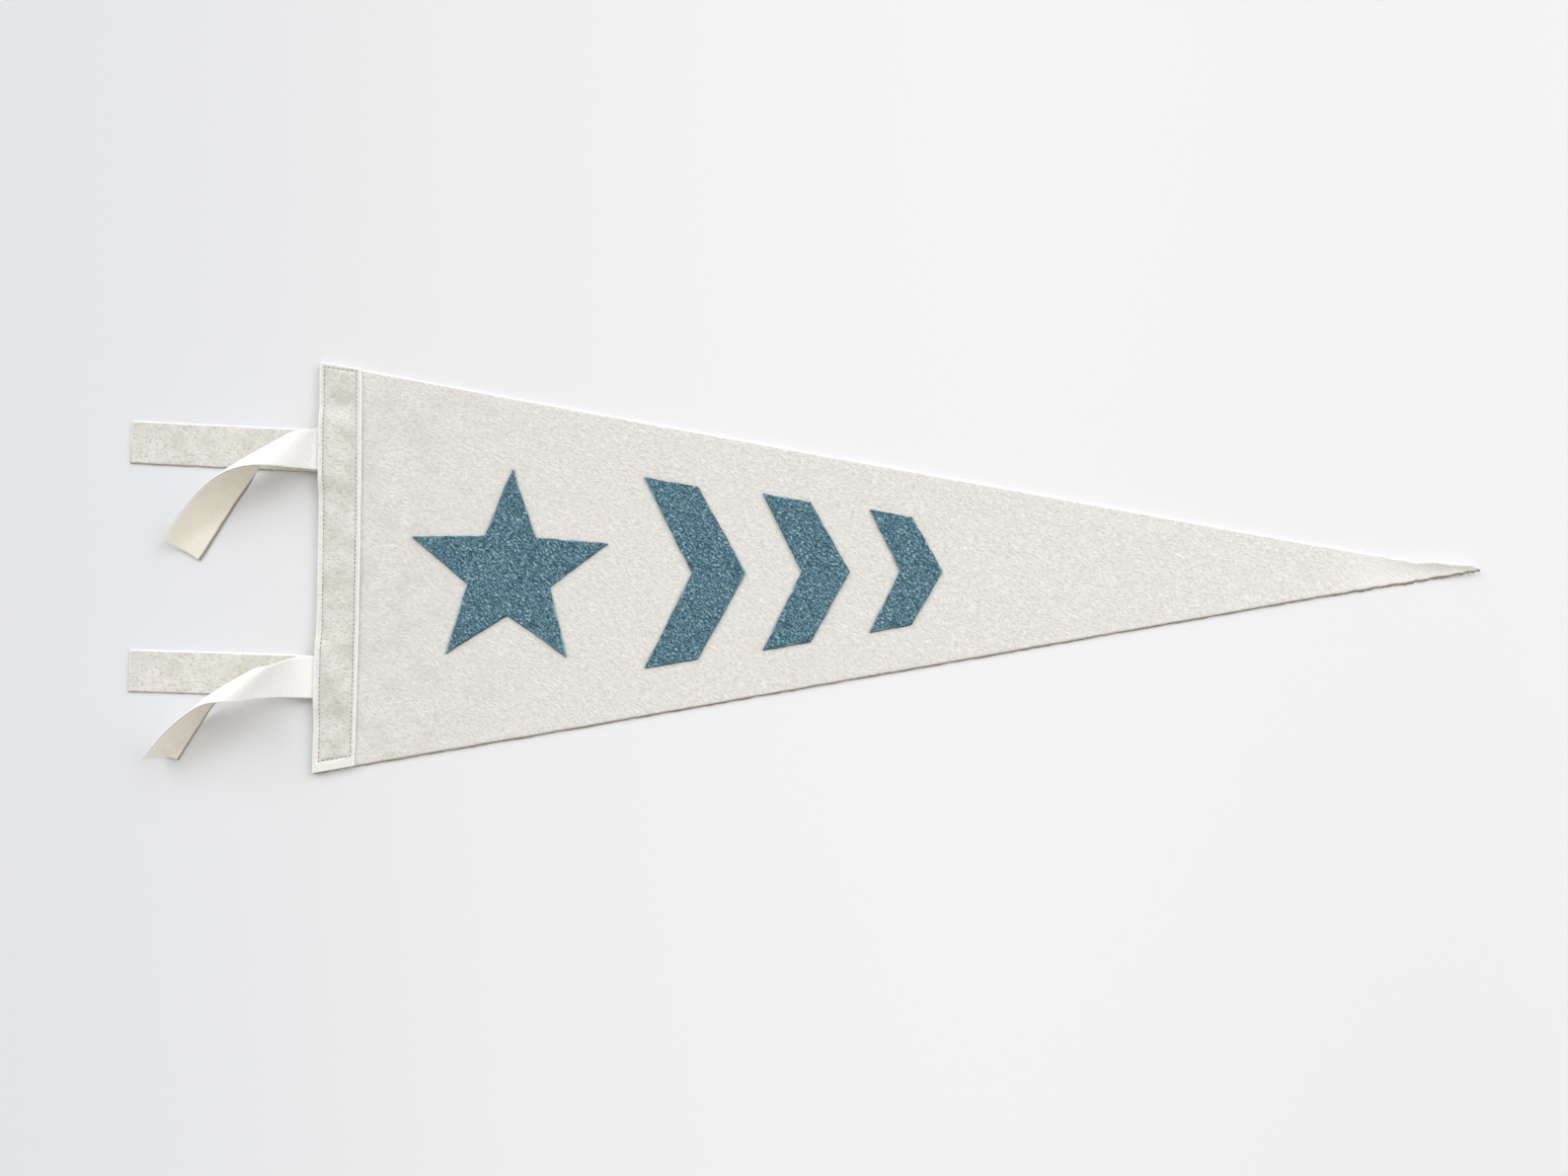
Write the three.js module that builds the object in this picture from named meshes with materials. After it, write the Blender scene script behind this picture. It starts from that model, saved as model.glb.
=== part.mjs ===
// A felt pennant: a long triangle of cream felt, a heading strip sewn along its hoist, two pairs of
// ties held under the heading, and a blue felt star and chevrons laid on the front.
// Millimetres. +X runs from the hoist to the tip, +Y up the hoist, +Z out of the front face.
// The pennant lies on its back on a flat surface at z = 0.
import * as THREE from "three";

// Driving sizes
const GAP = 0.3; // between pieces that touch
const PANEL_LENGTH = 609.6; // hoist to tip, 24 inches
const HOIST_HEIGHT = 215.4; // 8.5 inches
const HOIST_LEAN = 4.1; // how much nearer the tip the hoist's top corner stands than its bottom one
const HOIST_BOW = 1; // the middle of the hoist edge bows this much towards the tip
const HOIST_FADE = 200; // the lean and the bow die away over this much of the panel
const HOIST_LIFT = 0.6; // the hoist edge stands off the surface
const HOIST_LIFT_REACH = 14;
const PANEL_THICK = 2;
const STRIP_WIDTH = 22; // the heading and the ties are cut from one 7/8 inch strip
const STRIP_THICK = 1.5;
const ROOT_THICK = 1; // a tie is pressed thinner where it is sewn in
const ROOT_DEPTH = 12; // how far a tie runs in under the heading
const ROOT_EASE = 8; // the length over which a tie regains its full thickness
const DROP_START = 1.5; // a flat tail goes down to the surface from here,
const DROP_REACH = 16; // over this much of its length
const APPLIQUE_THICK = 1.5;
const CUT_CORNER = 1.4; // hand-cut corners of the blue pieces are a little round

const CREAM = { color: 0xe2e0d8, roughness: 0.95, metalness: 0 };
const CREAM_STRIP = { color: 0xddd9d0, roughness: 0.95, metalness: 0 };
const BLUE = { color: 0x5d8494, roughness: 0.95, metalness: 0 };

// The panel's two long edges, from the hoist to the tip, and how far each stands off the surface.
// They run straight until the last 90 mm, where the thin end twists and its upper edge turns up.
const PANEL_EDGES = [
  { x: 0, top: 107.7, bottom: -107.7, liftTop: 0, liftBottom: 0 },
  { x: 260, top: 60.2, bottom: -61.9, liftTop: 0, liftBottom: 0 },
  { x: 521, top: 12.6, bottom: -15.9, liftTop: 0, liftBottom: 0 },
  { x: 546, top: 8.6, bottom: -11.6, liftTop: 0.7, liftBottom: 0 },
  { x: 562, top: 5.6, bottom: -8.9, liftTop: 1.7, liftBottom: 0 },
  { x: 576, top: 3.4, bottom: -6.6, liftTop: 2.6, liftBottom: 0 },
  { x: 588, top: 2.6, bottom: -4.6, liftTop: 3.3, liftBottom: 0.3 },
  { x: 600, top: 1.5, bottom: -2.4, liftTop: 3.5, liftBottom: 1.1 },
  { x: PANEL_LENGTH, top: 0.4, bottom: -0.6, liftTop: 2.9, liftBottom: 2.2 },
];

// The tails that lie flat: where each leaves the hoist, its slope in degrees and its length past there.
const FLAT_TIES = [
  { name: "tie_upper_flat", rootY: 61.3, slope: 2.8, length: 99.5 },
  { name: "tie_lower_flat", rootY: -56.9, slope: 1.8, length: 98.5 },
];

// The tails that roll over and under. Straight lines fan out in the cloth from an apex beyond its upper
// edge at the seam, and it bends only from line to line. A line's turn is its angle in the cloth from the
// seam. Angles in degrees: rise is the whole upward bend and roll the whole bend over and under, each spread
// softly round its own middle turn, and late is a slow bend in the tail. The felt also gives: its upper
// edge is drawn down by give, most at giveAt along the tie and softly less to each side of there.
const CURLED_TIES = [
  {
    name: "tie_upper_curled", over: "tie_upper_flat", rootY: 62.1, slope: 4.2, apex: 12.4, length: 104.1,
    rise: 73, riseAt: 5, riseSpread: 14.6, roll: 189, rollAt: 52.6, rollSpread: 42.1, late: 82,
    give: 4.6, giveAt: 31, giveSpread: 38.2,
  },
  {
    name: "tie_lower_curled", over: "tie_lower_flat", rootY: -57.3, slope: 2.6, apex: 28.2, length: 108.6,
    rise: 91, riseAt: 22.2, riseSpread: 45, roll: 120, rollAt: 44.3, rollSpread: 10, late: 120,
    give: 6.1, giveAt: 41.6, giveSpread: 39.2,
  },
];
const SETTLE = 0.5; // how softly a curled tie comes to rest on what lies under it
const LEAVE_SEAM = 6; // the length over which it leaves the level of the seam
const UNDER_MARGIN = 1; // what lies under it counts as this much wider than it is,
const UNDER_FADE = 5; // and falls away to the surface over this much more
const FAN_STEP = 0.5;
const FAN_END = 90;
const LATE_BACK = 6; // the slow bend in the tail starts this much turn before the roll ends

// The blue pieces, from the hoist to the tip. A chevron's arms are cut off along the pennant's edges.
const STAR = { x: 101, y: -2, radius: 54, innerShare: 0.42, turn: -2 };
const CHEVRONS = [
  { name: "chevron_1", x: 172, y: -2.5, halfHeight: 50, stroke: 28, reach: 25 },
  { name: "chevron_2", x: 234, y: -2, halfHeight: 41, stroke: 25, reach: 20.5 },
  { name: "chevron_3", x: 290, y: -1.5, halfHeight: 32, stroke: 22, reach: 16 },
];
const EDGE_SLOPE = 0.18; // fall of the pennant's edges, in mm for each mm towards the tip

// The heading's raised places over the ties' roots, which die away in long soft ramps
const RAISED_HALF_WIDTH = 12;
const RAISED_DEPTH = 12.6;
const RAMP_ACROSS = 14;
const RAMP_ALONG = 8.8;
const END_SKEW = 12; // the heading's slanted ends draw on this much of its length

const radians = THREE.MathUtils.degToRad;

// A soft step from 0 to 1.
function ease(t) {
  const c = THREE.MathUtils.clamp(t, 0, 1);
  return c * c * c * (c * (6 * c - 15) + 10);
}

// Evenly spaced values from one end to the other.
function stops(from, to, count) {
  return Array.from({ length: count + 1 }, (_, i) => from + ((to - from) * i) / count);
}

// A value of the panel's edge table at a distance from the hoist.
function panelEdge(column, x) {
  const last = PANEL_EDGES.length - 1;
  let i = PANEL_EDGES.findIndex((row) => row.x > x) - 1;
  if (i < 0) i = last - 1;
  const [a, b] = [PANEL_EDGES[i], PANEL_EDGES[i + 1]];
  return THREE.MathUtils.lerp(a[column], b[column], (x - a.x) / (b.x - a.x));
}

// Where the hoist edge stands at a height.
function hoistX(y) {
  const share = (2 * y) / HOIST_HEIGHT;
  return (HOIST_LEAN * share) / 2 + HOIST_BOW * (1 - share * share);
}

// Height of the panel's underside at a distance in from the hoist edge.
function hoistLift(inside) {
  return HOIST_LIFT * (1 - ease(Math.max(inside, 0) / HOIST_LIFT_REACH));
}

// Height on which a tie's root or the heading rests, near the hoist.
function seamLevel(inside) {
  return hoistLift(inside) + PANEL_THICK + GAP;
}

// A closed sheet of cloth. at(u, v) gives the two points of its lower and upper face there, and u, v and
// the way from the lower to the upper face make a right-handed set.
function sheet(us, vs, at) {
  const rows = vs.length;
  const grid = us.length * rows;
  const positions = [];
  const faces = [];
  const lower = (i, j) => i * rows + j;
  const upper = (i, j) => grid + lower(i, j);
  const quad = (a, b, c, d) => faces.push(a, b, c, a, c, d);
  const points = us.flatMap((u) => vs.map((v) => at(u, v)));
  for (const side of [0, 1]) {
    for (const pair of points) positions.push(...pair[side].toArray());
  }
  for (let i = 0; i < us.length - 1; i++) {
    for (let j = 0; j < rows - 1; j++) {
      quad(upper(i, j), upper(i + 1, j), upper(i + 1, j + 1), upper(i, j + 1));
      quad(lower(i, j), lower(i, j + 1), lower(i + 1, j + 1), lower(i + 1, j));
    }
    const end = rows - 1;
    quad(lower(i, 0), lower(i + 1, 0), upper(i + 1, 0), upper(i, 0));
    quad(lower(i + 1, end), lower(i, end), upper(i, end), upper(i + 1, end));
  }
  for (let j = 0; j < rows - 1; j++) {
    const end = us.length - 1;
    quad(lower(0, j + 1), lower(0, j), upper(0, j), upper(0, j + 1));
    quad(lower(end, j), lower(end, j + 1), upper(end, j + 1), upper(end, j));
  }
  const geometry = new THREE.BufferGeometry();
  geometry.setAttribute("position", new THREE.Float32BufferAttribute(positions, 3));
  geometry.setIndex(faces);
  geometry.computeVertexNormals();
  return geometry;
}

function flatPair(x, y, z, thick) {
  return [new THREE.Vector3(x, y, z), new THREE.Vector3(x, y, z + thick)];
}

// Panel: the long triangle, flat but for its hoist edge and its thin end
const [FLAT_START, FLAT_END, TWIST_START] = [60, 500, 521];

function panelGeometry() {
  const us = [
    ...stops(0, HOIST_LIFT_REACH, 4),
    ...stops(FLAT_START, FLAT_END, 8),
    ...stops(TWIST_START, PANEL_LENGTH, 18),
  ];
  return sheet(us, stops(0, 1, 8), (along, across) => {
    const y = THREE.MathUtils.lerp(panelEdge("bottom", along), panelEdge("top", along), across);
    const x = along + hoistX(y) * (1 - ease(along / HOIST_FADE));
    const [liftBottom, liftTop] = [panelEdge("liftBottom", along), panelEdge("liftTop", along)];
    const lift = THREE.MathUtils.lerp(liftBottom, liftTop, across * across) + hoistLift(along);
    return flatPair(x, y, lift, PANEL_THICK);
  });
}

// Heading: one strip along the hoist, raised over the ties' roots, its ends cut with the panel's edges
function raised(inside, y) {
  const along = ease((RAISED_DEPTH + RAMP_ALONG - inside) / RAMP_ALONG);
  const heights = FLAT_TIES.map((tie) =>
    ease((RAISED_HALF_WIDTH + RAMP_ACROSS - Math.abs(y - tie.rootY)) / RAMP_ACROSS),
  );
  return along * Math.max(...heights) * 2 * (ROOT_THICK + GAP);
}

function headingGeometry() {
  const outer = RAISED_HALF_WIDTH + RAMP_ACROSS;
  const [upper, lower] = FLAT_TIES.map((tie) => [
    ...stops(tie.rootY - outer, tie.rootY - RAISED_HALF_WIDTH, 7),
    tie.rootY,
    ...stops(tie.rootY + RAISED_HALF_WIDTH, tie.rootY + outer, 7),
  ]);
  const reach = HOIST_HEIGHT / 2;
  const straight = reach - END_SKEW;
  const heights = [-reach, -straight, ...lower, ...stops(-15, 15, 2), ...upper, straight, reach];
  const ramp = stops(RAISED_DEPTH + 1, RAISED_DEPTH + RAMP_ALONG, 5);
  const across = [...stops(0, RAISED_DEPTH, 3), ...ramp, STRIP_WIDTH];
  return sheet(across, heights, (inside, level) => {
    const end = panelEdge(level > 0 ? "top" : "bottom", inside);
    const share = Math.max(Math.abs(level) - straight, 0) / END_SKEW;
    const y = level + share * (end - Math.sign(level) * reach);
    return flatPair(hoistX(y) + inside, y, seamLevel(inside) + raised(inside, y), STRIP_THICK);
  });
}

// Ties: strips that leave the seam at the hoist. along runs from the seam outwards, from -ROOT_DEPTH, and
// across from the lower edge to the upper edge.
function tieThick(along) {
  return THREE.MathUtils.lerp(ROOT_THICK, STRIP_THICK, ease(along / ROOT_EASE));
}

function strip(tie, along, across) {
  const slope = radians(tie.slope);
  return {
    x: hoistX(tie.rootY) - along * Math.cos(slope) + across * Math.sin(slope),
    y: tie.rootY + along * Math.sin(slope) + across * Math.cos(slope),
  };
}

function flatTieLevel(inside) {
  return seamLevel(inside) * (1 - ease((-inside - DROP_START) / DROP_REACH));
}

function flatTieGeometry(tie) {
  const down = DROP_START + DROP_REACH;
  const alongs = [...stops(tie.length, down, 4), ...stops(down - 2, 1, 7), ...stops(0, -ROOT_DEPTH, 4)];
  return sheet(alongs, stops(-STRIP_WIDTH / 2, STRIP_WIDTH / 2, 2), (along, across) => {
    const { x, y } = strip(tie, along, across);
    return flatPair(x, y, flatTieLevel(x - hoistX(y)), tieThick(along));
  });
}

// Height of the top of whatever lies under a curled tie: the surface, or the flat tail of its pair.
function levelUnder(tie, x, y) {
  const flat = FLAT_TIES.find((other) => other.name === tie.over);
  const slope = radians(flat.slope);
  const [dx, dy] = [x - hoistX(flat.rootY), y - flat.rootY];
  const off = Math.abs(dx * Math.sin(slope) + dy * Math.cos(slope)) - STRIP_WIDTH / 2;
  const top = flatTieLevel(x - hoistX(y)) + STRIP_THICK + GAP;
  return top * ease(1 - (off - UNDER_MARGIN) / UNDER_FADE);
}

// A soft bell of height 1 round a middle.
function bell(value, middle, spread) {
  const off = (value - middle) / spread;
  return Math.abs(off) < 1 ? (1 - off * off) ** 2 : 0;
}

// A soft hump of area 1 round a middle.
function hump(value, middle, spread) {
  return ((15 / 16) * bell(value, middle, spread)) / spread;
}

// Directions of a curled tie's straight lines, one for each step of turn: each is the last one swung
// about an axis that also tips the cloth up or over.
function fan(tie) {
  const lateAt = (tie.rollAt + tie.rollSpread + FAN_END) / 2 - LATE_BACK;
  const lateSpread = (FAN_END - tie.rollAt) / 2 + 2 * LATE_BACK;
  const line = new THREE.Vector3(0, -1, 0);
  const onward = new THREE.Vector3(-1, 0, 0);
  const lines = [line.clone()];
  for (let turn = FAN_STEP / 2; turn < FAN_END; turn += FAN_STEP) {
    const rise = tie.rise * hump(turn, tie.riseAt, tie.riseSpread);
    const roll = tie.roll * hump(turn, tie.rollAt, tie.rollSpread);
    const late = tie.late * hump(turn, lateAt, lateSpread);
    const swing = onward.clone().cross(line).addScaledVector(line, rise - roll - late).negate();
    const angle = radians(swing.length() * FAN_STEP);
    swing.normalize();
    line.applyAxisAngle(swing, angle);
    onward.applyAxisAngle(swing, angle);
    lines.push(line.clone());
  }
  return lines;
}

// The middle of a curled tie's cloth
function curledMiddle(tie, lines, along, across) {
  const flat = strip(tie, along, across);
  const seam = seamLevel(flat.x - hoistX(flat.y)) + ROOT_THICK + GAP + tieThick(along) / 2;
  if (along <= 0) return new THREE.Vector3(flat.x, flat.y, seam);
  const apex = STRIP_WIDTH / 2 + tie.apex;
  const step = THREE.MathUtils.radToDeg(Math.atan2(along, apex - across)) / FAN_STEP;
  const i = Math.floor(step);
  const line = lines[i].clone().lerp(lines[i + 1], step - i);
  const point = line.multiplyScalar(Math.hypot(along, apex - across));
  const leave = ease(along / LEAVE_SEAM);
  const give = tie.give * bell(along, tie.giveAt, tie.giveSpread) * (across / STRIP_WIDTH + 0.5) ** 2;
  point.y += apex - leave * give;
  point.applyAxisAngle(new THREE.Vector3(0, 0, 1), -radians(tie.slope));
  point.add(new THREE.Vector3(hoistX(tie.rootY), tie.rootY, seam));
  const least = levelUnder(tie, point.x, point.y) + STRIP_THICK / 2;
  const over = point.z - least;
  const settled = least + (over + Math.sqrt(over * over + 4 * SETTLE * SETTLE)) / 2;
  point.z = THREE.MathUtils.lerp(seam, settled, leave);
  return point;
}

// Across a curled tie the mesh follows the cloth's straight lines, up to the one that meets the cut end.
function curledTieGeometry(tie) {
  const lines = fan(tie);
  const [near, far] = [tie.apex, tie.apex + STRIP_WIDTH];
  const last = Math.atan2(tie.length, far);
  const rows = [
    ...stops(1, 0.125, 7).map((share) => {
      const [upper, lower] = [near * Math.tan(last), tie.length];
      return [THREE.MathUtils.lerp(upper, tie.length, share), lower];
    }),
    ...stops(last, 0, 44).map((turn) => [near * Math.tan(turn), far * Math.tan(turn)]),
    ...stops(-ROOT_DEPTH / 3, -ROOT_DEPTH, 2).map((along) => [along, along]),
  ];
  const half = STRIP_WIDTH / 2;
  const nudge = 0.05;
  return sheet(rows, stops(-half, half, 8), ([upper, lower], across) => {
    const along = THREE.MathUtils.lerp(lower, upper, across / STRIP_WIDTH + 0.5);
    const middle = curledMiddle(tie, lines, along, across);
    const ahead = curledMiddle(tie, lines, along + nudge, across).sub(middle);
    const beside = curledMiddle(tie, lines, along, across + nudge).sub(middle);
    const face = beside.cross(ahead).normalize().multiplyScalar(tieThick(along) / 2);
    return [middle.clone().sub(face), middle.clone().add(face)];
  });
}

// Blue pieces: flat shapes with slightly rounded corners, laid on the panel
function cutShape(corners) {
  const shape = new THREE.Shape();
  corners.forEach((corner, i) => {
    const before = corners.at(i - 1);
    const after = corners[(i + 1) % corners.length];
    const from = corner.clone().lerp(before, CUT_CORNER / corner.distanceTo(before));
    const to = corner.clone().lerp(after, CUT_CORNER / corner.distanceTo(after));
    if (i === 0) shape.moveTo(from.x, from.y);
    else shape.lineTo(from.x, from.y);
    shape.quadraticCurveTo(corner.x, corner.y, to.x, to.y);
  });
  shape.closePath();
  return shape;
}

function appliqueGeometry(corners, x, y) {
  const geometry = new THREE.ExtrudeGeometry(cutShape(corners), {
    depth: APPLIQUE_THICK,
    bevelEnabled: false,
    curveSegments: 3,
  });
  return geometry.translate(x, y, PANEL_THICK + GAP);
}

function starGeometry() {
  const corners = Array.from({ length: 10 }, (_, i) => {
    const angle = radians(90 + STAR.turn + i * 36);
    const radius = i % 2 ? STAR.radius * STAR.innerShare : STAR.radius;
    return new THREE.Vector2(Math.cos(angle), Math.sin(angle)).multiplyScalar(radius);
  });
  return appliqueGeometry(corners, STAR.x, STAR.y);
}

function chevronGeometry({ x, y, halfHeight, stroke, reach }) {
  const fall = stroke * EDGE_SLOPE;
  const corners = [
    [0, halfHeight],
    [reach, 0],
    [0, -halfHeight],
    [stroke, -halfHeight + fall],
    [stroke + reach, 0],
    [stroke, halfHeight - fall],
  ].map(([cx, cy]) => new THREE.Vector2(cx, cy));
  return appliqueGeometry(corners, x, y);
}

// The whole pennant, with its origin under the middle of its box
const pennant = new THREE.Group();

function add(name, geometry, look) {
  const mesh = new THREE.Mesh(geometry, new THREE.MeshStandardMaterial(look));
  mesh.name = name;
  pennant.add(mesh);
}

add("panel", panelGeometry(), CREAM);
add("header", headingGeometry(), CREAM_STRIP);
for (const tie of FLAT_TIES) add(tie.name, flatTieGeometry(tie), CREAM_STRIP);
for (const tie of CURLED_TIES) add(tie.name, curledTieGeometry(tie), CREAM_STRIP);
add("star", starGeometry(), BLUE);
for (const chevron of CHEVRONS) add(chevron.name, chevronGeometry(chevron), BLUE);

const box = new THREE.Box3().setFromObject(pennant);
const middle = box.getCenter(new THREE.Vector3());
pennant.position.set(-middle.x, -middle.y, -box.min.z);

export default pennant;
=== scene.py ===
"""A cream felt pennant lying face up, dressed for the photograph.

The pennant is a long felt triangle with a heading strip sewn along its hoist, two pairs of felt ties held
under the heading, and a star and three chevrons of heathered blue felt on its front. Each piece of felt is
cut flat first, with its thickness and soft cut edges, and is then laid in the place that the frame gives it.
Sizes are in millimetres in the hoist's own frame: x runs from the hoist to the tip, y up the hoist and z
out of the front face. Meshes are in metres in the row frame.
"""

import logging
import math
from dataclasses import dataclass, field
from enum import Enum
from typing import Any, Callable, Iterable, Sequence

import bmesh
import bpy
from mathutils import Matrix, Vector, noise


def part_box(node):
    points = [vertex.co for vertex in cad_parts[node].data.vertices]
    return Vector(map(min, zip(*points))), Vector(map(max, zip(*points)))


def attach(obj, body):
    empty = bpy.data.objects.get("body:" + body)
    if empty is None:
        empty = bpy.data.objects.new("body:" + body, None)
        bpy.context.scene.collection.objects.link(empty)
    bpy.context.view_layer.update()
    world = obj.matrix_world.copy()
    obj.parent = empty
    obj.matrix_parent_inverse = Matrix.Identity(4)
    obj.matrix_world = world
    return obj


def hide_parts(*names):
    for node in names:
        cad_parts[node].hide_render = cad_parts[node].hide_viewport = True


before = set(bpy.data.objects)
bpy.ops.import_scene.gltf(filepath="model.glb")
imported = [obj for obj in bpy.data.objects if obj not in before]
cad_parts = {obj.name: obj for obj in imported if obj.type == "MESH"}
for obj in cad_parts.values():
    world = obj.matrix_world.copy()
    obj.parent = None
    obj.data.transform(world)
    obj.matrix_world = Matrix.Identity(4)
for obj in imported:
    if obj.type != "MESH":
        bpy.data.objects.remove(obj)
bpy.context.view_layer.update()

LOG = logging.getLogger("pennant")
MM = 0.001
STRIP_WIDTH = 22.0
STRIP_THICK = 1.5
PANEL_THICK = 2.0
SEWN_GAP = 0.05
RIM_STEPS = (0.0, 0.1, 0.3, 0.6)

# The sockets of a colour mix: its two colours and its result.
MIX_A, MIX_B, MIX_OUT = 6, 7, 2

# How a hand-cut edge strays: how far in it is felt, and the lengths of its long and short waves, mm.
STRAY_REACH = 3.0
STRAY_LONG, STRAY_SHORT = 7.0, 1.9
SHORT_SHARE = 0.6

# How a face rises and falls: how far from the edge it starts, and the lengths of its waves, mm.
SWELL_START = 1.5
SWELL_LONG, SWELL_SHORT = 11.0, 4.0
SWELL_SHARES = (0.6, 0.5)

# How far apart the bends of felt's fibres are and how far they swing, mm.
FIBRE_BEND, FIBRE_SWING = 9.0, 3.0
# How much finer felt's second layer of lumps is, and how it lies across the first, degrees.
FINE_SHARE, FINE_TURN = 0.42, 62.0
# The sizes of felt's hairs and of the marks of handling, mm.
HAIR_SIZE, MARK_SIZE = 0.9, 16.0

# The length of the notches in a cut that shows, mm, and how deep they are against its width.
NOTCH, NOTCH_SHARE = 1.7, 0.5


# Numbers

def ease(t: float) -> float:
    """Gives a soft step from 0 to 1."""
    c = min(max(t, 0.0), 1.0)
    return c * c * c * (c * (6 * c - 15) + 10)


def blend(a: float, b: float, share: float) -> float:
    """Gives the value a share of the way from a to b."""
    return a + (b - a) * share


def stops(start: float, end: float, count: int) -> list[float]:
    """Gives evenly spaced values from start to end, both included."""
    return [blend(start, end, i / count) for i in range(count + 1)]


def bell(value: float, middle: float, spread: float) -> float:
    """Gives a soft bell of height 1 round a middle.

    Args:
        value: where to read it.
        middle: the place of its top.
        spread: how far it reaches to each side.

    Returns:
        The height there.
    """
    off = (value - middle) / spread
    return (1 - off * off) ** 2 if abs(off) < 1 else 0.0


def hump(value: float, middle: float, spread: float) -> float:
    """Gives a soft bell of area 1 round a middle."""
    return 15 / 16 * bell(value, middle, spread) / spread


def wave(x: float, y: float, size: float, seed: float) -> float:
    """Gives smooth unevenness between about -1 and 1.

    Args:
        x: place in the cloth, mm.
        y: place in the cloth, mm.
        size: about how far apart its highs and lows are, mm.
        seed: picks one pattern among many.

    Returns:
        The unevenness there.
    """
    return noise.noise(Vector((x / size, y / size, seed)))


def rimmed(count: int) -> list[tuple[float, float]]:
    """Gives stations from one cut edge to the other, close together in both rims.

    Args:
        count: how many steps the middle has.

    Returns:
        For each station, its share of the middle and its share of the rims, from 0 to 2.
    """
    first = [(0.0, step) for step in RIM_STEPS]
    middle = [(i / count, 1.0) for i in range(count + 1)]
    last = [(1.0, 2.0 - step) for step in reversed(RIM_STEPS)]
    return first + middle + last


def at_station(station: tuple[float, float], width: float, rim: float) -> float:
    """Gives the distance of a station from the first cut edge.

    Args:
        station: its shares of the middle and of the rims.
        width: from edge to edge, mm.
        rim: how wide a rim is, mm.

    Returns:
        The distance, mm.
    """
    reach = min(rim, 0.45 * width)
    return station[0] * (width - 2 * reach) + station[1] * reach


def off_segment(point: Vector, a: Vector, b: Vector) -> float:
    """Gives the distance of a point from a line segment, all in the plane of the cloth.

    Args:
        point: the point, mm.
        a: one end of the segment, mm.
        b: the other end, mm.

    Returns:
        The distance, mm.
    """
    along = b - a
    share = min(max((point - a).dot(along) / along.length_squared, 0.0), 1.0)
    return (point - a - along * share).length


# Materials

def linear(code: str) -> tuple[float, float, float, float]:
    """Turns an sRGB hex colour to linear.

    Args:
        code: six hex digits.

    Returns:
        Red, green, blue and 1.
    """
    parts = [int(code[i : i + 2], 16) / 255 for i in (0, 2, 4)]
    red, green, blue = [c / 12.92 if c <= 0.04045 else ((c + 0.055) / 1.055) ** 2.4 for c in parts]
    return (red, green, blue, 1.0)


def add(
    tree: bpy.types.NodeTree,
    kind: str,
    settings: dict[Any, Any] | None = None,
    links: dict[Any, Any] | None = None,
) -> bpy.types.Node:
    """Adds a node with its settings and links.

    Args:
        tree: the material's or world's node tree.
        kind: the node's type.
        settings: values for its own settings and for its unlinked sockets.
        links: what feeds each linked socket.

    Returns:
        The node.
    """
    node = tree.nodes.new(kind)
    for key, value in (settings or {}).items():
        if isinstance(key, str) and hasattr(node, key):
            setattr(node, key, value)
        else:
            node.inputs[key].default_value = value
    for key, source in (links or {}).items():
        tree.links.new(source, node.inputs[key])
    return node


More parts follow.
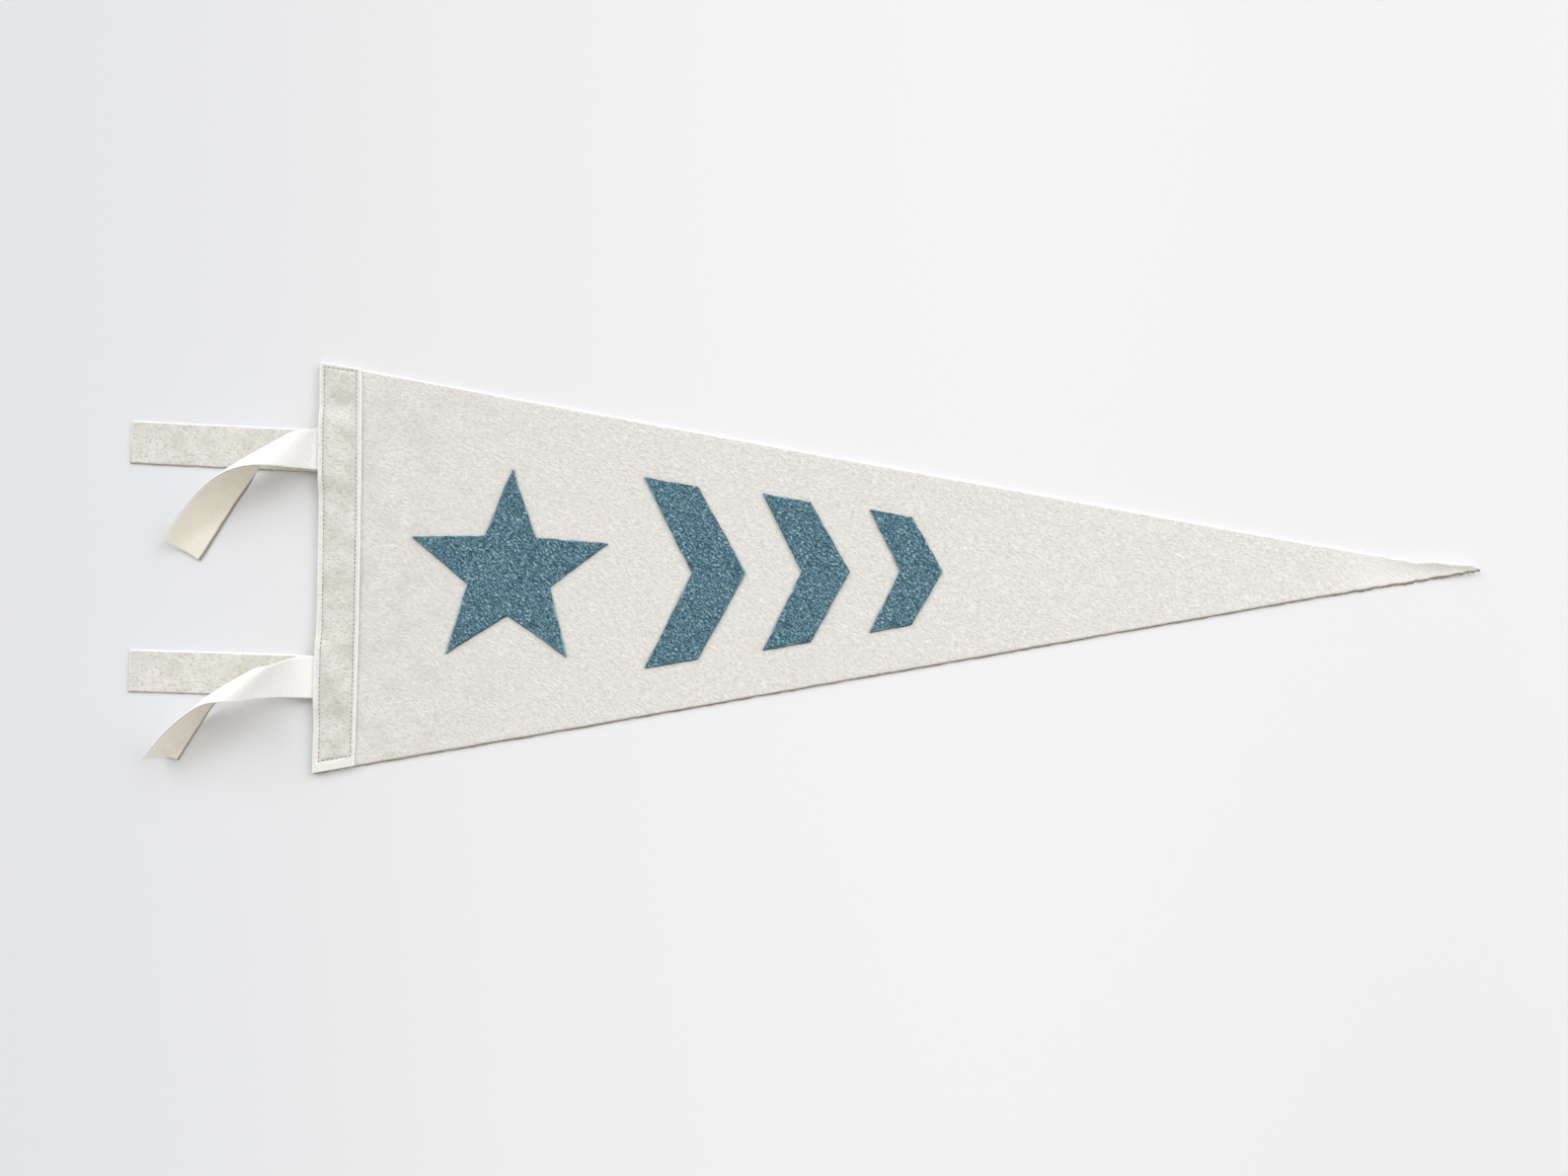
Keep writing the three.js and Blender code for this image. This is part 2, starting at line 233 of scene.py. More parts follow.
@dataclass(frozen=True)
class FeltFinish:
    """Wool felt, pressed in sheets: matte, with a fibrous grain and slightly raised, paler cut edges, partly
    a painted highlight, and a painted shade in the middle of the cut.

    Attributes:
        name: what the felt is and how its surface was made.
        slot: the record's material slot; not used here.
        face: colour of the front.
        back: colour of the back, drawn lighter than the face in the strip: a painted light on the curled
            tails' backs, which turn away from the light.
        dark: colour in the hollows of the grain.
        light: colour of the fibres that stand up.
        clean_and_highlight: colour where the face is drawn paler, partly hardly handled felt and partly a
            painted highlight where it faces the light.
        rim: colour of the paler cut edge, partly freshly cut fibres and partly a painted highlight on the
            edges that face the light.
        cut_wall_shade: a painted shade in the middle of the cut, between the two faces.
        grain: length and width of a lump of the grain, mm.
        lean: the angle at which the grain lies, degrees.
        contrast: how much the hollows and raised fibres show, 0 to 1.
        relief: height of the grain, mm.
        stain: how much broad handling marks show where it is worn, 0 to 1.
    """

    name: str
    slot: str
    face: str
    back: str
    dark: str
    light: str
    clean_and_highlight: str
    rim: str
    cut_wall_shade: str
    grain: tuple[float, float] = (2.6, 1.3)
    lean: float = -24.0
    contrast: float = 0.5
    relief: float = 0.16
    stain: float = 0.0

    def grain_noise(
        self, tree: bpy.types.NodeTree, place: Any, share: float, lean: float, detail: float
    ) -> Any:
        """Adds one layer of the grain.

        Args:
            tree: the material's node tree.
            place: the socket with the place in the cloth.
            share: its size against the grain's own.
            lean: its angle, degrees.
            detail: how many finer layers it carries.

        Returns:
            The socket with its value.
        """
        size = (self.grain[0] * share * MM, self.grain[1] * share * MM, self.grain[1] * share * MM)
        turned = add(
            tree,
            "ShaderNodeMapping",
            {"vector_type": "TEXTURE", "Rotation": (0, 0, math.radians(lean)), "Scale": size},
            {"Vector": place},
        )
        layer = add(
            tree,
            "ShaderNodeTexNoise",
            {"Scale": 1.0, "Detail": detail, "Roughness": 0.6, "Distortion": 0.4},
            {"Vector": turned.outputs[0]},
        )
        return layer.outputs["Fac"]

    def mix(self, tree: bpy.types.NodeTree, factor: Any, under: Any, over: str) -> Any:
        """Lays one colour over another.

        Args:
            tree: the material's node tree.
            factor: the socket that says how much.
            under: the colour below, a hex code or a socket.
            over: the colour on top, a hex code.

        Returns:
            The socket with the mixed colour.
        """
        settings: dict[Any, Any] = {"data_type": "RGBA", MIX_B: linear(over)}
        links = {0: factor}
        if isinstance(under, str):
            settings[MIX_A] = linear(under)
        else:
            links[MIX_A] = under
        return add(tree, "ShaderNodeMix", settings, links).outputs[MIX_OUT]

    def ranged(self, tree: bpy.types.NodeTree, value: Any, low: float, high: float, top: float) -> Any:
        """Brings a value between two limits to 0 to top, softly.

        Args:
            tree: the material's node tree.
            value: the socket to read.
            low: the value that gives 0.
            high: the value that gives top.
            top: the largest result.

        Returns:
            The socket with the result.
        """
        settings = {"interpolation_type": "SMOOTHSTEP", "From Min": low, "From Max": high, "To Max": top}
        return add(tree, "ShaderNodeMapRange", settings, {"Value": value}).outputs["Result"]

    def build(self) -> bpy.types.Material:
        """Builds the material.

        Returns:
            The material.
        """
        material = bpy.data.materials.new(self.name)
        material.use_nodes = True
        tree = material.node_tree
        tree.nodes.clear()
        cloth = add(tree, "ShaderNodeAttribute", {"attribute_name": "cloth"}).outputs["Vector"]
        look = add(tree, "ShaderNodeAttribute", {"attribute_name": "look"}).outputs["Vector"]
        rim, clean_and_highlight, worn = add(tree, "ShaderNodeSeparateXYZ", {}, {0: look}).outputs
        # The fibres swing a few millimetres to and fro, so that the grain isn't ruled.
        wander = add(
            tree, "ShaderNodeTexNoise", {"Scale": 1 / (FIBRE_BEND * MM), "Detail": 1.0}, {"Vector": cloth}
        )
        centred = add(
            tree,
            "ShaderNodeVectorMath",
            {"operation": "SUBTRACT", 1: (0.5, 0.5, 0.5)},
            {0: wander.outputs["Color"]},
        )
        swing = (FIBRE_SWING * MM,) * 3
        place = add(
            tree,
            "ShaderNodeVectorMath",
            {"operation": "MULTIPLY_ADD", 1: swing},
            {0: centred.outputs[0], 2: cloth},
        ).outputs[0]
        # Wool fibres, 0.02 mm thick, are too fine to show, so the grain is drawn as lumps of about 1 mm.
        # Two layers of them lie across each other: their hollows are darker, their raised fibres paler.
        coarse = self.grain_noise(tree, place, 1.0, self.lean, 2.0)
        fine = self.grain_noise(tree, place, FINE_SHARE, self.lean + FINE_TURN, 3.0)
        hollow = self.ranged(tree, coarse, 0.5, 0.3, self.contrast)
        raised = self.ranged(tree, coarse, 0.52, 0.7, self.contrast)
        pit = self.ranged(tree, fine, 0.44, 0.28, self.contrast)
        tuft = self.ranged(tree, fine, 0.55, 0.72, self.contrast)
        colour: Any = self.face
        for low, high in ((hollow, raised), (pit, tuft)):
            colour = self.mix(tree, low, colour, self.dark)
            colour = self.mix(tree, high, colour, self.light)
        # Handling marks are broad soft patches.
        patch = add(
            tree,
            "ShaderNodeTexNoise",
            {"Scale": 1 / (MARK_SIZE * MM), "Detail": 4.0, "Roughness": 0.65},
            {"Vector": cloth},
        ).outputs["Fac"]
        marked = add(
            tree,
            "ShaderNodeMath",
            {"operation": "MULTIPLY", "use_clamp": True},
            {0: self.ranged(tree, patch, 0.34, 0.72, self.stain), 1: worn},
        ).outputs[0]
        colour = self.mix(tree, marked, colour, self.dark)
        # Where a piece asks for it the face is drawn paler: partly hardly handled felt, partly a painted
        # highlight where it faces the light.
        colour = self.mix(tree, clean_and_highlight, colour, self.clean_and_highlight)
        # The cloth's own depth tells its back, clouded a little, from its face. The strip's back is drawn
        # lighter and warmer than its face: a painted light for the curled tails' backs, which turn away from
        # the light.
        depth = add(tree, "ShaderNodeSeparateXYZ", {}, {0: cloth}).outputs["Z"]
        behind = self.ranged(tree, depth, -0.1 * MM, -0.4 * MM, 0.97)
        colour = self.mix(tree, behind, colour, self.back)
        clouded = add(
            tree,
            "ShaderNodeMath",
            {"operation": "MULTIPLY"},
            {0: self.ranged(tree, patch, 0.42, 0.74, 0.16), 1: behind},
        ).outputs[0]
        colour = self.mix(tree, clouded, colour, self.dark)
        # Cut edges are drawn paler, partly freshly cut fibres and partly a painted highlight on the edges
        # that face the light.
        colour = self.mix(tree, self.ranged(tree, rim, 0.3, 0.8, 0.92), colour, self.rim)
        # The middle of the cut between the two faces is darker: a painted shade.
        level = add(tree, "ShaderNodeMath", {"operation": "ABSOLUTE"}, {0: depth}).outputs[0]
        colour = self.mix(tree, self.ranged(tree, level, 0.25 * MM, 0.12 * MM, 1.0), colour, self.cut_wall_shade)
        hairs = add(
            tree,
            "ShaderNodeTexNoise",
            {
                "noise_type": "RIDGED_MULTIFRACTAL",
                "normalize": False,
                "Scale": 1 / (HAIR_SIZE * MM),
                "Detail": 3.0,
                "Distortion": 1.2,
            },
            {"Vector": place},
        ).outputs["Fac"]
        height = coarse
        for layer, share in ((fine, 0.55), (hairs, 0.05)):
            added = {"operation": "MULTIPLY_ADD", 1: share}
            height = add(tree, "ShaderNodeMath", added, {0: layer, 2: height}).outputs[0]
        bump = add(
            tree, "ShaderNodeBump", {"Strength": 1.0, "Distance": self.relief * MM}, {"Height": height}
        ).outputs["Normal"]
        shader = add(
            tree,
            "ShaderNodeBsdfPrincipled",
            {
                "Roughness": 0.95,
                "IOR": 1.5,
                "Specular IOR Level": 0.2,
                "Sheen Weight": 0.12,
                "Sheen Roughness": 0.6,
            },
            {"Base Color": colour, "Normal": bump},
        )
        add(tree, "ShaderNodeOutputMaterial", {}, {"Surface": shader.outputs[0]})
        return material


class Finish(Enum):
    """The finishes of the pennant's pieces."""

    # White wool, needled and pressed but not dyed: a warm off-white with soft lumps; the olive in the middle
    # of its cut is a painted shade.
    PANEL = FeltFinish(
        name="pressed_wool_felt_cream",
        slot="panel_felt",
        face="E9E6E0",
        back="E4DDCE",
        dark="D2CEC5",
        light="FDFCFA",
        clean_and_highlight="FBF9F4",
        rim="FFFEFB",
        cut_wall_shade="A09671",
        grain=(2.2, 1.0),
        contrast=0.72,
        relief=0.36,
        stain=0.45,
    )
    # The same wool in a thinner sheet: its handled face is greyer and marked; its back is drawn lighter and
    # warmer, a painted light on the curled tails' backs, and its cut edge is cream, partly a painted
    # highlight.
    STRIP = FeltFinish(
        name="pressed_wool_felt_strip",
        slot="strip_felt",
        face="EBE9E2",
        back="FFFAEC",
        dark="BAB4A7",
        light="F6F4F0",
        clean_and_highlight="FEFDFB",
        rim="FFFEFB",
        cut_wall_shade="B5AB92",
        grain=(2.0, 0.7),
        lean=-12.0,
        contrast=0.75,
        relief=0.24,
        stain=0.5,
    )
    # Dyed wools carded together: pale and dark fibres show side by side as a heather.
    BLUE = FeltFinish(
        name="pressed_wool_felt_heather_blue",
        slot="blue_felt",
        face="426D7E",
        back="4F7989",
        dark="142E3A",
        light="AFCBD5",
        clean_and_highlight="8FB2BE",
        rim="8CAFBC",
        cut_wall_shade="233E4B",
        grain=(1.6, 0.75),
        lean=-38.0,
        contrast=1.0,
        relief=0.36,
    )


@dataclass(frozen=True)
class ThreadFinish:
    """Spun cotton sewing thread, twisted: matte, with a fine slanted ply.

    Attributes:
        name: what the thread is and how it was made.
        light: colour of the ply's crown.
        dark: colour between the plies.
        ply: width of one ply along the thread, mm.
    """

    name: str = "twisted_cotton_thread_cream"
    light: str = "E6E1D5"
    dark: str = "C2BBAB"
    ply: float = 0.35

    def build(self) -> bpy.types.Material:
        """Builds the material.

        Returns:
            The material.
        """
        material = bpy.data.materials.new(self.name)
        material.use_nodes = True
        tree = material.node_tree
        tree.nodes.clear()
        cloth = add(tree, "ShaderNodeAttribute", {"attribute_name": "cloth"}).outputs["Vector"]
        plies = add(
            tree,
            "ShaderNodeTexWave",
            {"bands_direction": "DIAGONAL", "Scale": 0.314 / (self.ply * MM), "Distortion": 0.6},
            {"Vector": cloth},
        ).outputs["Fac"]
        settings = {"data_type": "RGBA", MIX_A: linear(self.dark), MIX_B: linear(self.light)}
        colour = add(tree, "ShaderNodeMix", settings, {0: plies}).outputs[MIX_OUT]
        bump = add(tree, "ShaderNodeBump", {"Strength": 0.6, "Distance": 0.05 * MM}, {"Height": plies})
        shader = add(
            tree,
            "ShaderNodeBsdfPrincipled",
            {"Roughness": 0.8, "Specular IOR Level": 0.3},
            {"Base Color": colour, "Normal": bump.outputs["Normal"]},
        )
        add(tree, "ShaderNodeOutputMaterial", {}, {"Surface": shader.outputs[0]})
        return material


@dataclass(frozen=True)
class ShadeFinish:
    """Painted shade inside a needle hole: a matte dark grey brown put where the hole's shade falls.

    Attributes:
        name: what it is and how it was made.
        colour: colour of the shaded fibres.
        deep: colour between them.
    """

    name: str = "needle_hole_painted_shade"
    colour: str = "6F685B"
    deep: str = "4B453B"

    def build(self) -> bpy.types.Material:
        """Builds the material.

        Returns:
            The material.
        """
        material = bpy.data.materials.new(self.name)
        material.use_nodes = True
        tree = material.node_tree
        tree.nodes.clear()
        cloth = add(tree, "ShaderNodeAttribute", {"attribute_name": "cloth"}).outputs["Vector"]
        fibres = add(tree, "ShaderNodeTexNoise", {"Scale": 1 / (0.4 * MM), "Detail": 2.0}, {"Vector": cloth})
        settings = {"data_type": "RGBA", MIX_A: linear(self.deep), MIX_B: linear(self.colour)}
        colour = add(tree, "ShaderNodeMix", settings, {0: fibres.outputs["Fac"]}).outputs[MIX_OUT]
        shader = add(
            tree,
            "ShaderNodeBsdfPrincipled",
            {"Roughness": 1.0, "Specular IOR Level": 0.05},
            {"Base Color": colour},
        )
        add(tree, "ShaderNodeOutputMaterial", {}, {"Surface": shader.outputs[0]})
        return material


# The hoist

@dataclass(frozen=True)
class Hoist:
    """The line of the hoist edge, and how the felt near it stands off the surface.

    Attributes:
        height: length of the hoist edge, mm.
        lean: how much nearer the tip its top corner stands than its bottom one, mm.
        bow: how much its middle bows towards the tip, mm.
        lift: how far the edge stands off the surface, mm.
        lift_reach: how far in the felt comes down to the surface, mm.
    """

    height: float = 215.4
    lean: float = 4.1
    bow: float = 1.0
    lift: float = 0.6
    lift_reach: float = 14.0

    def x(self, y: float) -> float:
        """Gives where the hoist edge stands at a height."""
        share = 2 * y / self.height
        return self.lean * share / 2 + self.bow * (1 - share * share)

    def level(self, inside: float) -> float:
        """Gives the height of the panel's underside at a distance in from the hoist edge."""
        return self.lift * (1 - ease(max(inside, 0.0) / self.lift_reach))

    def seam(self, inside: float) -> float:
        """Gives the height on which a tie's root or the heading rests near the hoist."""
        return self.level(inside) + PANEL_THICK + SEWN_GAP


HOIST = Hoist()
HOIST_PLACE = Vector((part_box("panel")[0].x / MM + HOIST.lean / 2, 0.0, 0.0))


def to_row(point: Vector) -> Vector:
    """Takes a point from the hoist's frame in millimetres to the row frame in metres."""
    return (point + HOIST_PLACE) * MM


# Pieces of felt

@dataclass
class FeltPiece:
    """A piece of felt, cut flat and then laid in its place.

    Attributes:
        name: the piece's name, which is also its node's.
        finish: its felt.
        thick: its thickness, mm.
        rim: how far in from a cut edge it is rounded over, mm.
        pale_rim: how far in the paler cut edge, partly a painted highlight, fades out, mm.
        flare: how far its lower face stands out beyond the upper one along a lower cut edge, mm.
        wobble: how far a hand-cut edge strays, mm.
        uneven: how far its face rises and falls, mm.
        rests_on: what it lies on; not used here.
    """

    name: str
    finish: Finish
    thick: float = STRIP_THICK
    rim: float = 0.75
    pale_rim: float = 1.5
    flare: float = 0.45
    wobble: float = 0.15
    uneven: float = 0.1
    rests_on: tuple[str, ...] = ("panel",)

    def cut(self, bm: bmesh.types.BMesh) -> None:
        """Makes the flat outline and its grid at z = 0, in the cloth's own millimetres."""
        raise NotImplementedError

    def from_edge(self, x: float, y: float) -> float:
        """Gives how far a place in the cloth is from the nearest cut edge, mm."""
        raise NotImplementedError

    def lay(self, x: float, y: float, up: float) -> Vector:
        """Gives the point in the hoist's frame of a place in the cloth, up from the cloth's middle."""
        raise NotImplementedError

    def flat_size(self) -> tuple[float, float, float]:
        """Gives the width, length and area that it was cut to, mm."""
        raise NotImplementedError

    def seed(self) -> float:
        """Gives a number of this piece's own, so that no two pieces share their unevenness."""
        return sum(ord(letter) for letter in self.name) * 0.37

    def half(self, distance: float) -> float:
        """Gives half the cloth's thickness at a distance from the cut edge.

        Args:
            distance: from the nearest cut edge, mm.

        Returns:
            Half the thickness there, mm.
        """
        left = 1 - min(max(distance, 0.0) / self.rim, 1.0)
        return self.thick / 2 * (0.3 + 0.7 * math.sqrt(1 - left * left))

    def dent(self, x: float, y: float) -> float:
        """Gives how far the face is pressed in at a place in the cloth, mm."""
        return 0.0

    def frayed(self, x: float, y: float) -> float:
        """Gives how much more than elsewhere the cut edge strays near a place in the cloth."""
        return 1.0

    def stray(self, x: float, y: float, seed: float) -> float:
        """Gives how a hand-cut edge strays in one direction, between about -1.5 and 1.5."""
        return wave(x, y, STRAY_LONG, seed) + SHORT_SHARE * wave(x, y, STRAY_SHORT, seed + 5)

    def swell(self, x: float, y: float, seed: float) -> float:
        """Gives how the face rises and falls, between about -1 and 1."""
        broad, small = SWELL_SHARES
        return broad * wave(x, y, SWELL_LONG, seed) + small * wave(x, y, SWELL_SHORT, seed + 5)

    def stand_out(self, x: float, y: float, side: int, outward: float) -> float:
        """Gives how far a face's last points stand out beyond a cut edge, so that the cut shows.

        Args:
            x: place in the cloth, mm.
            y: place in the cloth, mm.
            side: 1 on the front and -1 on the back.
            outward: how much the edge looks up (above 0) or down the cloth.

        Returns:
            How far the points move up the cloth, mm.
        """
        if side > 0 or outward > 0:
            return 0.0
        ragged = 1 + NOTCH_SHARE * wave(x, y, NOTCH, self.seed() + 40)
        return -self.flare * ragged * self.frayed(x, y) ** 0.2

    def pale_and_highlight_share(self, x: float, y: float) -> float:
        """Gives how much the nearest cut edge is drawn paler, 0 and up: upper edges fully and lower edges
        hardly, a painted highlight on the edges that face the light.
        """
        return 1.0 if y > 0 else 0.35

    def clean_and_highlight(self, x: float, y: float) -> float:
        """Gives how much paler the felt's face is drawn at a place in the cloth, 0 to 1."""
        return 0.0

    def worn(self, x: float, y: float) -> float:
        """Gives how much the felt has been handled at a place in the cloth, 0 and up."""
        return 0.0

    def build(self) -> bpy.types.Object:
        """Cuts, thickens and lays the piece, and gives it its felt.

        Returns:
            The finished object.
        """
        bm = bmesh.new()
        self.cut(bm)
        bmesh.ops.solidify(bm, geom=bm.faces[:], thickness=self.thick)
        cloth = bm.verts.layers.float_vector.new("cloth")
        look = bm.verts.layers.float_vector.new("look")
        bm.normal_update()
        seed = self.seed()
        for vert in bm.verts:
            x, y, z = vert.co
            side = 1 if z > -self.thick / 2 else -1
            distance = self.from_edge(x, y)
            near = self.wobble * max(1 - distance / STRAY_REACH, 0.0) * self.frayed(x, y)
            stray_x = near * self.stray(x, y, seed)
            stray_y = near * self.stray(x, y, seed + 9)
            up = side * self.half(distance)
            outward = vert.normal.xy
            if abs(outward.y) > 0.1:
                stray_y += self.stand_out(x, y, side, outward.y)
            if side > 0:
                up += self.uneven * min(distance / SWELL_START, 1.0) * self.swell(x, y, seed + 20)
                up -= self.dent(x, y)
            vert[cloth] = Vector((x, y, up)) * MM
            # The paler cut edge is partly a painted highlight: each piece says how much of it each edge gets.
            pale = max(1 - distance / self.pale_rim, 0.0) * self.pale_and_highlight_share(x, y)
            vert[look] = Vector((pale, self.clean_and_highlight(x, y), self.worn(x, y)))
            vert.co = to_row(self.lay(x + stray_x, y + stray_y, up))
        bmesh.ops.recalc_face_normals(bm, faces=bm.faces[:])
        for face in bm.faces:
            face.smooth = True
        mesh = bpy.data.meshes.new(self.name)
        bm.to_mesh(mesh)
        bm.free()
        mesh.materials.append(MATERIALS[self.finish.value.name])
        piece = bpy.data.objects.new(f"{self.name}_felt", mesh)
        bpy.context.scene.collection.objects.link(piece)
        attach(piece, "root")
        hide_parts(self.name)
        width, length, area = self.flat_size()
        LOG.info("%s: %d faces", piece.name, len(mesh.polygons))
        return piece


MATERIALS: dict[str, bpy.types.Material] = {}


def map_grid(
    bm: bmesh.types.BMesh,
    columns: Sequence[Any],
    rows: Sequence[Any],
    place: Callable[[Any, Any], tuple[float, float]],
) -> None:
    """Makes a grid and moves its points where the columns and rows say.

    Args:
        bm: the mesh that it is added to.
        columns: the stations of its first direction.
        rows: the stations of its second direction.
        place: gives x and y for a column and a row.
    """
    wide, high = len(columns) - 1, len(rows) - 1
    for vert in bmesh.ops.create_grid(bm, x_segments=wide, y_segments=high, size=0.5)["verts"]:
        i = round((vert.co.x + 0.5) * wide)
        j = round((vert.co.y + 0.5) * high)
        vert.co = Vector((*place(columns[i], rows[j]), 0.0))


@dataclass(frozen=True)
class PanelStation:
    """The panel's two edges at a distance from the hoist.

    Attributes:
        x: distance from the hoist, mm.
        top: height of the top edge, mm.
        bottom: height of the bottom edge, mm.
        lift_top: how far the top edge stands off the surface, mm.
        lift_bottom: how far the bottom edge stands off the surface, mm.
    """

    x: float
    top: float
    bottom: float
    lift_top: float = 0.0
    lift_bottom: float = 0.0


@dataclass
class Panel(FeltPiece):
    """The long triangle, flat but for its hoist edge and its thin end, which twists and turns up.

    Attributes:
        fade: how far from the hoist its columns become upright, mm.
        handled: how far from the hoist its handling marks reach, mm.
        twist_start: where the thin end starts to twist, mm from the hoist.
        twist_ease: how far beyond that its edges are fully rough and pale, mm.
        twist_fray: how much more its edges stray there.
        twist_edge_highlight: how much more its upper edge is drawn paler there, a painted highlight where the
            turned-up edge faces the light.
        stations: its edges at nine distances from the hoist.
    """

    name: str = "panel"
    finish: Finish = Finish.PANEL
    thick: float = PANEL_THICK
    rim: float = 0.95
    flare: float = 0.85
    wobble: float = 0.18
    uneven: float = 0.14
    rests_on: tuple[str, ...] = ("floor",)
    fade: float = 200.0
    handled: float = 170.0
    twist_start: float = 521.0
    twist_ease: float = 40.0
    twist_fray: float = 3.2
    twist_edge_highlight: float = 1.2
    stations: tuple[PanelStation, ...] = (
        PanelStation(0, 107.7, -107.7),
        PanelStation(260, 60.2, -61.9),
        PanelStation(521, 12.6, -15.9),
        PanelStation(546, 8.6, -11.6, 0.7),
        PanelStation(562, 5.6, -8.9, 1.7),
        PanelStation(576, 3.4, -6.6, 2.6),
        PanelStation(588, 2.6, -4.6, 3.3, 0.3),
        PanelStation(600, 1.5, -2.4, 3.5, 1.1),
        PanelStation(609.6, 0.4, -0.6, 2.9, 2.2),
    )

    def edges(self, x: float) -> PanelStation:
        """Gives the panel's edges at a distance from the hoist.

        Args:
            x: distance from the hoist, mm.

        Returns:
            The station there.
        """
        last = len(self.stations) - 2
        i = next((n for n in range(last) if x < self.stations[n + 1].x), last)
        a, b = self.stations[i], self.stations[i + 1]
        share = (x - a.x) / (b.x - a.x)
        return PanelStation(
            x,
            blend(a.top, b.top, share),
            blend(a.bottom, b.bottom, share),
            blend(a.lift_top, b.lift_top, share),
            blend(a.lift_bottom, b.lift_bottom, share),
        )

    def twisted(self, x: float) -> float:
        """Gives how far into the twisted thin end a place is, 0 to 1."""
        return ease((x - self.twist_start) / self.twist_ease)

    def cut(self, bm: bmesh.types.BMesh) -> None:
        """Cuts the triangle, with its grid closer where the end twists.

        Args:
            bm: the empty mesh.
        """
        length = self.stations[-1].x
        near = [at_station(station, length, self.rim) for station in rimmed(1)[:4]]
        flat_part = stops(self.rim, self.twist_start, 190)
        thin_end = stops(self.twist_start + 1.1, length, 150)
        columns = [*near, *flat_part, *thin_end]

        def place(x: float, station: tuple[float, float]) -> tuple[float, float]:
            """Gives the point of a column and a row."""
            edges = self.edges(x)
            return x, edges.bottom + at_station(station, edges.top - edges.bottom, self.rim)

        map_grid(bm, columns, rimmed(64), place)

    def from_edge(self, x: float, y: float) -> float:
        """Gives how far a place in the cloth is from the nearest cut edge, mm."""
        edges = self.edges(x)
        return min(x, edges.top - y, y - edges.bottom)

    def lay(self, x: float, y: float, up: float) -> Vector:
        """Gives the point in the hoist's frame of a place in the cloth.

        Args:
            x: distance from the hoist edge, mm.
            y: height, mm.
            up: distance up from the cloth's middle, mm.

        Returns:
            The point, mm.
        """
        edges = self.edges(min(max(x, 0.0), self.stations[-1].x))
        across = min(max((y - edges.bottom) / (edges.top - edges.bottom), 0.0), 1.0)
        lift = blend(edges.lift_bottom, edges.lift_top, across * across) + HOIST.level(x)
        return Vector((x + HOIST.x(y) * (1 - ease(x / self.fade)), y, max(lift + self.thick / 2 + up, 0.0)))

    def frayed(self, x: float, y: float) -> float:
        """Gives how much more the cut edge strays near a place: the thin end's edges are rough."""
        return 1 + self.twist_fray * self.twisted(x)

    def pale_and_highlight_share(self, x: float, y: float) -> float:
        """Gives how much the nearest cut edge is drawn paler: the upper edges more than the lower ones and
        the turned-up edge of the thin end most, a painted highlight where they face the light.
        """
        middle = (self.edges(x).top + self.edges(x).bottom) / 2
        return 1 + self.twist_edge_highlight * self.twisted(x) if y > middle else 0.3

    def clean_and_highlight(self, x: float, y: float) -> float:
        """Gives how much paler the felt's face is drawn: the thin end is drawn paler."""
        return 0.6 * self.twisted(x)

    def worn(self, x: float, y: float) -> float:
        """Gives how much the felt has been handled: more near the hoist."""
        return 1 - ease(x / self.handled)

    def flat_size(self) -> tuple[float, float, float]:
        """Gives the size that it was cut to.

        Returns:
            Its width and length, mm, and its area, mm2.
        """
        pairs = zip(self.stations, self.stations[1:])
        area = sum((b.x - a.x) * (a.top - a.bottom + b.top - b.bottom) / 2 for a, b in pairs)
        return HOIST.height, self.stations[-1].x, area


# The heading

@dataclass(frozen=True)
class StitchLine:
    """The rectangle of topstitching that holds the heading.

    Attributes:
        corners: its corners, as distance in from the hoist edge and height, mm.
        pitch: from one needle hole to the next, mm.
        depth: how far the thread pulls the felt in, mm.
        width: how far to each side the felt is drawn in, mm.
    """

    corners: tuple[tuple[float, float], ...] = ((2.4, 105.0), (19.2, 103.0), (19.6, -98.6), (3.3, -101.4))
    pitch: float = 2.3
    depth: float = 0.5
    width: float = 1.0

    def sides(self) -> list[tuple[Vector, Vector]]:
        """Gives the two ends of each side."""
        points = [Vector(corner) for corner in self.corners]
        return list(zip(points, points[1:] + points[:1]))

    def outside(self, x: float, y: float) -> bool:
        """Gives whether a place lies outside the rectangle, on one of the heading's lips."""
        return any(float((b - a).cross(Vector((x, y)) - a)) > 0 for a, b in self.sides())

    def groove(self, x: float, y: float) -> float:
        """Gives how far the felt is drawn in at a place, mm."""
        off = min(off_segment(Vector((x, y)), a, b) for a, b in self.sides())
        return self.depth * math.exp(-((off / self.width) ** 2))


